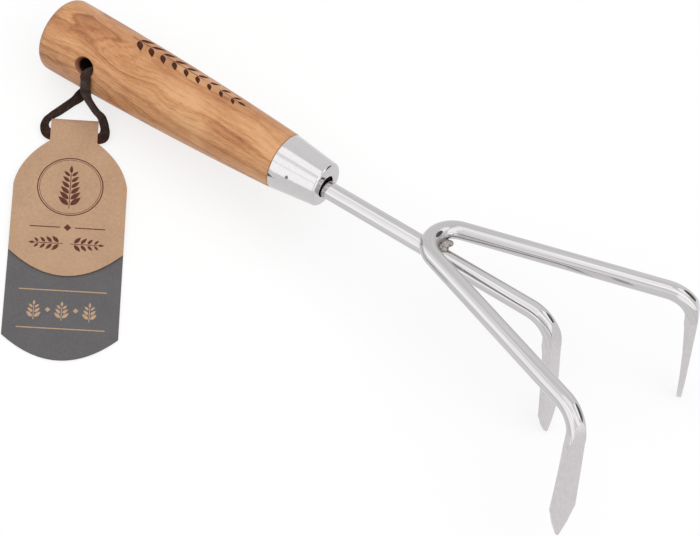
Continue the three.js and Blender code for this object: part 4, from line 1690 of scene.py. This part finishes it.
@dataclass
class CardTag:
    """The folded card tag with its printed ornament."""

    width: float = 50.0
    neck: float = 21.0
    neck_length: float = 12.0
    shoulder: float = 22.5
    front_length: float = 79.1
    front_sag: float = 11.9
    back_length: float = 119.4
    back_sag: float = 11.2
    thickness: float = 0.6
    opening: float = 2.0
    lap: float = 2.0
    slope: float = 1.2
    lift: float = 0.3
    gap: float = 0.3
    turn: float = 35.9
    front_gap: float = 0.05
    fold_place: Pair = (-129.2, -16.7)
    bend_shares: Pair = (0.92, 0.43)
    merge: float = 1e-7
    ink: float = 0.04

    def __post_init__(self) -> None:
        """Works out where both leaves lie."""
        self.fold_radius = self.opening / 2 + self.thickness
        self.fold_height = self.lift + self.fold_radius
        self.place = (
            Matrix.Scale(MM, 4)
            @ Matrix.Translation((*self.fold_place, 0))
            @ Matrix.Rotation(math.radians(self.turn), 4, "Z")
        )
        crease = self.fold_radius + self.gap
        self.front_place = (
            self.place
            @ Matrix.Translation((0, -crease, self.fold_height + self.fold_radius))
            @ Matrix.Rotation(math.radians(self.slope), 4, "X")
            @ Matrix.Translation((0, crease, -self.thickness))
        )

    def outline(self, start: float, length: float, sag: float) -> list[Pair]:
        """Outline of one leaf that hangs below the fold.

        Args:
            start: Where the leaf starts below the fold.
            length: Length from the fold to the lowest point.
            sag: How far the lower edge bulges.

        Returns:
            The outline, with the fold along X and the leaf towards negative Y.
        """
        neck, half = self.neck / 2, self.width / 2
        shoulder_end, side_end = self.neck_length + self.shoulder, length - sag
        bend = (half * self.bend_shares[0], self.neck_length + self.shoulder * self.bend_shares[1])

        def curve(a: Pair, b: Pair, c: Pair, steps: int) -> list[Pair]:
            """Points of a curve that bends towards a corner, without its first.

            Args:
                a: Where it starts.
                b: The corner.
                c: Where it ends.
                steps: Number of points.

            Returns:
                The points.
            """
            points = []
            for t in evenly(0.0, 1.0, steps):
                rest = 1 - t
                points.append(tuple(u * rest**2 + 2 * v * t * rest + w * t * t for u, v, w in zip(a, b, c)))
            return points

        points = [(-neck, -start), (-neck, -self.neck_length)]
        points += curve((-neck, -self.neck_length), (-bend[0], -bend[1]), (-half, -shoulder_end), steps=24)
        points += [(-half, -side_end)]
        points += curve((-half, -side_end), (0, -(length + sag)), (half, -side_end), steps=36)
        points += [(half, -shoulder_end)]
        points += curve((half, -shoulder_end), (bend[0], -bend[1]), (neck, -self.neck_length), steps=24)
        points += [(neck, -start)]
        return points

    def cut_leaf(self, name: str, start: float, length: float, sag: float, place: Matrix) -> Piece:
        """Cuts one leaf of the tag.

        Args:
            name: Name of the leaf.
            start: Where the leaf starts below the fold.
            length: Length from the fold to the lowest point.
            sag: How far the lower edge bulges.
            place: Where the leaf lies.

        Returns:
            The leaf.
        """
        leaf_piece = cut_sheet(name, [self.outline(start, length, sag)], self.thickness, place)
        point_faces_out(leaf_piece, self.merge)
        return leaf_piece

    def bend_fold(self) -> Piece:
        """Bends the fold, half round, with a short lap for the back leaf.

        Returns:
            The fold.
        """
        radius, height = self.fold_radius, self.fold_height
        steps = 20
        outward = evenly(0.0, math.pi, steps)
        homeward = [math.pi * (1 - k / steps) for k in range(steps + 1)]
        section = [(radius + self.lap, self.lift), (radius, self.lift)]
        for bend, turns in ((radius, outward), (self.opening / 2, homeward)):
            section += [(radius - bend * math.sin(t), height - bend * math.cos(t)) for t in turns]
        section += [(radius + self.lap, self.lift + self.thickness)]
        stand = Matrix(((0, 0, 1, -self.neck / 2), (-1, 0, 0, 0), (0, 1, 0, 0), (0, 0, 0, 1)))
        fold = cut_sheet("card_fold", [section], self.neck, self.place @ stand)
        point_faces_out(fold, self.merge)
        return fold

    def build_leaves(self, kraft: Material, grey: Material) -> None:
        """Cuts and folds the card, which is grey on the upper face of its back leaf.

        Args:
            kraft: Finish of the bare card.
            grey: Finish of its grey face.
        """
        back_place = self.place @ Matrix.Translation((0, 0, self.lift))
        start = self.fold_radius + self.lap / 2
        back = self.cut_leaf("card_back_leaf", start, self.back_length, self.back_sag, back_place)
        fold = self.bend_fold()
        dress(back, kraft, grey)
        dress(fold, kraft)
        cut_or_join(back, fold, "UNION")
        low, downward = (self.lift + self.thickness) * MM * 1.05, -0.5
        dress_faces(back, lambda face: 1 if face.normal.z > downward and face.center.z < low else 0)
        smooth_by_angle(back, 30.0)
        hand_in(back, Body.TOOL, Slot.GREY, "tag_back_leaf")
        start = self.fold_radius + self.front_gap
        front = self.cut_leaf("card_front_leaf", start, self.front_length, self.front_sag, self.front_place)
        dress(front, kraft)
        hand_in(front, Body.FRONT_LEAF, Slot.KRAFT, "tag_front_leaf")

    def print_on(self, name: str, shapes: Sequence[Outline], place: Matrix, finish: Material) -> Piece:
        """Prints flat shapes as one thin piece that sits a little in the card.

        Args:
            name: Name of the piece.
            shapes: Outlines of the shapes.
            place: Place of the card's upper face.
            finish: The ink.

        Returns:
            The print.
        """
        piece = cut_sheet(name, shapes, self.ink, place)
        dress(piece, finish)
        return piece

    def build_prints(self, brown: Material, tan: Material) -> None:
        """Prints the ornament on both leaves.

        Args:
            brown: Ink of the front leaf.
            tan: Ink of the back leaf.
        """
        shapes = ring((0, -35.0), 14.6, line=0.5) + ring((0, -35.0), 13.6, line=0.22)
        shapes += sprig((0, -46.0), math.pi / 2, 22.0, 6, (6.4, 2.5))
        shapes += rule((-16.5, -55.5), (-3.2, -55.5), line=0.5) + rule((3.2, -55.5), (16.5, -55.5), line=0.5)
        shapes += [diamond((0, -55.5), 1.7)]
        for across, angle in ((-1.6, math.pi), (1.6, 0.0)):
            shapes += sprig((across, -63.5), angle, 15.0, 4, (4.6, 1.9))
        face = self.front_place @ Matrix.Translation((0, 0, self.thickness - self.ink * 0.25))
        hand_in(self.print_on("front_leaf_print", shapes, face, brown), Body.FRONT_LEAF, Slot.KRAFT)
        shapes = rule((-19.0, -86.0), (19.0, -86.0), line=0.5)
        shapes += rule((-19.0, -104.5), (19.0, -104.5), line=0.5)
        for across in (-12.0, 0.0, 12.0):
            shapes += sprig((across, -100.6), math.pi / 2, 9.5, 3, (4.0, 1.8))
        shapes += [diamond((across, -95.5), 1.2) for across in (-6.0, 6.0)]
        face = self.place @ Matrix.Translation((0, 0, self.lift + self.thickness - self.ink * 0.25))
        hand_in(self.print_on("back_leaf_print", shapes, face, tan), Body.TOOL, Slot.GREY)


# Ornament.


def heading_and_side(angle: float) -> tuple[Vector, Vector]:
    """Directions along and across an angle in the plane."""
    heading = Vector((math.cos(angle), math.sin(angle)))
    return heading, Vector((-heading.y, heading.x))


def ring(centre: Pair, radius: float, line: float) -> list[Outline]:
    """A thin ring.

    Args:
        centre: Its centre.
        radius: Its outer radius.
        line: Its width.

    Returns:
        Its outline and that of its hole.
    """
    x, y = centre
    count = 72
    turns = [2 * math.pi * k / count for k in range(count)]
    radii = (radius, radius - line)
    return [[(x + r * math.cos(turn), y + r * math.sin(turn)) for turn in turns] for r in radii]


def rule(start: Pair, end: Pair, line: float) -> list[Outline]:
    """A straight line of even thickness.

    Args:
        start: Where it starts.
        end: Where it ends.
        line: Its thickness.

    Returns:
        Its outline, alone in a list.
    """
    a, b = Vector(start), Vector(end)
    direction = (b - a).normalized()
    side = Vector((-direction.y, direction.x)) * line / 2
    return [[tuple(a + side), tuple(a - side), tuple(b - side), tuple(b + side)]]


def diamond(centre: Pair, size: float) -> Outline:
    """A small diamond."""
    x, y = centre
    return [(x - size, y), (x, y - size), (x + size, y), (x, y + size)]


def leaf(base: Vector, angle: float, length: float, width: float) -> Outline:
    """A pointed leaf.

    Args:
        base: Where it starts.
        angle: Where it points.
        length: Its length.
        width: Its width.

    Returns:
        Its outline.
    """
    heading, side = heading_and_side(angle)
    steps = 10

    def edge(k: int, hand: int) -> tuple[float, ...]:
        """Point of one edge, a number of steps from the base."""
        bulge = side * (width / 2 * math.sin(math.pi * (k / steps) ** 0.8))
        return tuple(base + heading * (length * k / steps) + bulge * hand)

    return [edge(k, 1) for k in range(steps + 1)] + [edge(k, -1) for k in range(steps - 1, 0, -1)]


def sprig(base: Pair, angle: float, length: float, pairs: int, size: Pair) -> list[Outline]:
    """A straight stem with paired leaves and one at its end.

    Args:
        base: Foot of the stem.
        angle: Direction of the stem.
        length: Length of the stem with its last leaf.
        pairs: Pairs of leaves.
        size: Length and width of the lowest leaves; the upper ones are smaller.

    Returns:
        Outlines of stem and leaves, which don't touch.
    """
    heading, side = heading_and_side(angle)
    foot = Vector(base)
    leaf_length, leaf_width = size
    stem = length - leaf_length * 0.7
    shapes = rule(tuple(foot), tuple(foot + heading * stem), line=0.34)
    for k in range(pairs):
        share = (k + 0.6) / pairs
        shrink = 1.0 - 0.45 * share
        for hand in (1, -1):
            start = foot + heading * (stem * share) + side * (hand * 0.45)
            shapes.append(leaf(start, angle + hand * 0.82, leaf_length * shrink, leaf_width * shrink))
    shapes.append(leaf(foot + heading * (stem + 0.3), angle, leaf_length * 0.62, leaf_width * 0.6))
    return shapes


@dataclass
class HandleMark:
    """A sprig burnt into the handle, wrapped round its curve."""

    start: float = 38.0
    length: float = 64.0
    roll: float = -14.0
    sheet: float = 0.1
    above: float = 0.05
    sinking: float = 1.5

    def build(self, handle: TurnedHandle, burnt: Material) -> None:
        """Draws the sprig flat and wraps it round the wood.

        Args:
            handle: The handle that carries it.
            burnt: Its finish.
        """
        shapes = sprig((0, 0), 0.0, self.length, 9, (7.4, 2.9))
        piece = cut_sheet("handle_burnt_sprig", shapes, self.sheet, UNMOVED)
        with edit_mode(piece):
            bpy.ops.mesh.subdivide(number_cuts=1)
        middle = math.radians(90.0 + self.roll)
        for vert in piece.data.vertices:
            x, y, z = vert.co
            along = self.start + x
            radius = handle.radius(along)
            turn = middle - y / radius
            reach = radius + self.above - (self.sheet - z) * self.sinking
            vert.co = (along, math.cos(turn) * reach, math.sin(turn) * reach)
        bake_place(piece, TOOL_TO_TABLE)
        dress(piece, burnt)
        with edit_mode(piece):
            bpy.ops.mesh.normals_make_consistent(inside=False)
        hand_in(piece, Body.TOOL, Slot.ASH)


def main() -> None:
    """Builds the studio and every sub-assembly in order."""
    Studio().build()
    FlatLace().build(NappedLeather().material())
    handle = TurnedHandle()
    handle.build(OiledAsh().material())
    bright_steel = PolishedSteel("bright_steel", (201, 198, 199), rough=0.08).material()
    brad_steel = PolishedSteel("brad_steel", (120, 116, 114), rough=0.3, cloudy=0.1).material()
    SteelFerrule().build(bright_steel, brad_steel)
    drawn_steel = PolishedSteel("drawn_steel", drawn=0.000016, streaks=0.09)
    ground_steel = PolishedSteel("ground_steel", (207, 203, 205), rough=0.24, cloudy=0.08, streaks=0.03)
    prongs = ForgedProngs((drawn_steel.material(), ground_steel.material()))
    prongs.build_middle()
    prongs.build_outer()
    weld = PolishedSteel("weld_steel", (160, 154, 150), rough=0.22, cloudy=0.16, uneven=0.0004, streaks=0.1)
    prongs.build_welds(weld.material())
    tag = CardTag()
    kraft = Card("kraft_card", (190, 156, 127), (140, 104, 78), specks=0.35).material()
    grey = Card("grey_card", (103, 101, 102), (124, 120, 118), specks=0.25).material()
    tag.build_leaves(kraft, grey)
    brown = Ink("brown_ink", (92, 50, 44), (126, 84, 68)).material()
    tan = Ink("tan_ink", (196, 162, 132), (164, 138, 118)).material()
    tag.build_prints(brown, tan)
    HandleMark().build(handle, Ink("burnt_wood", (66, 30, 22), (110, 62, 42), grain=900.0).material())


if __name__ == "__main__":
    main()
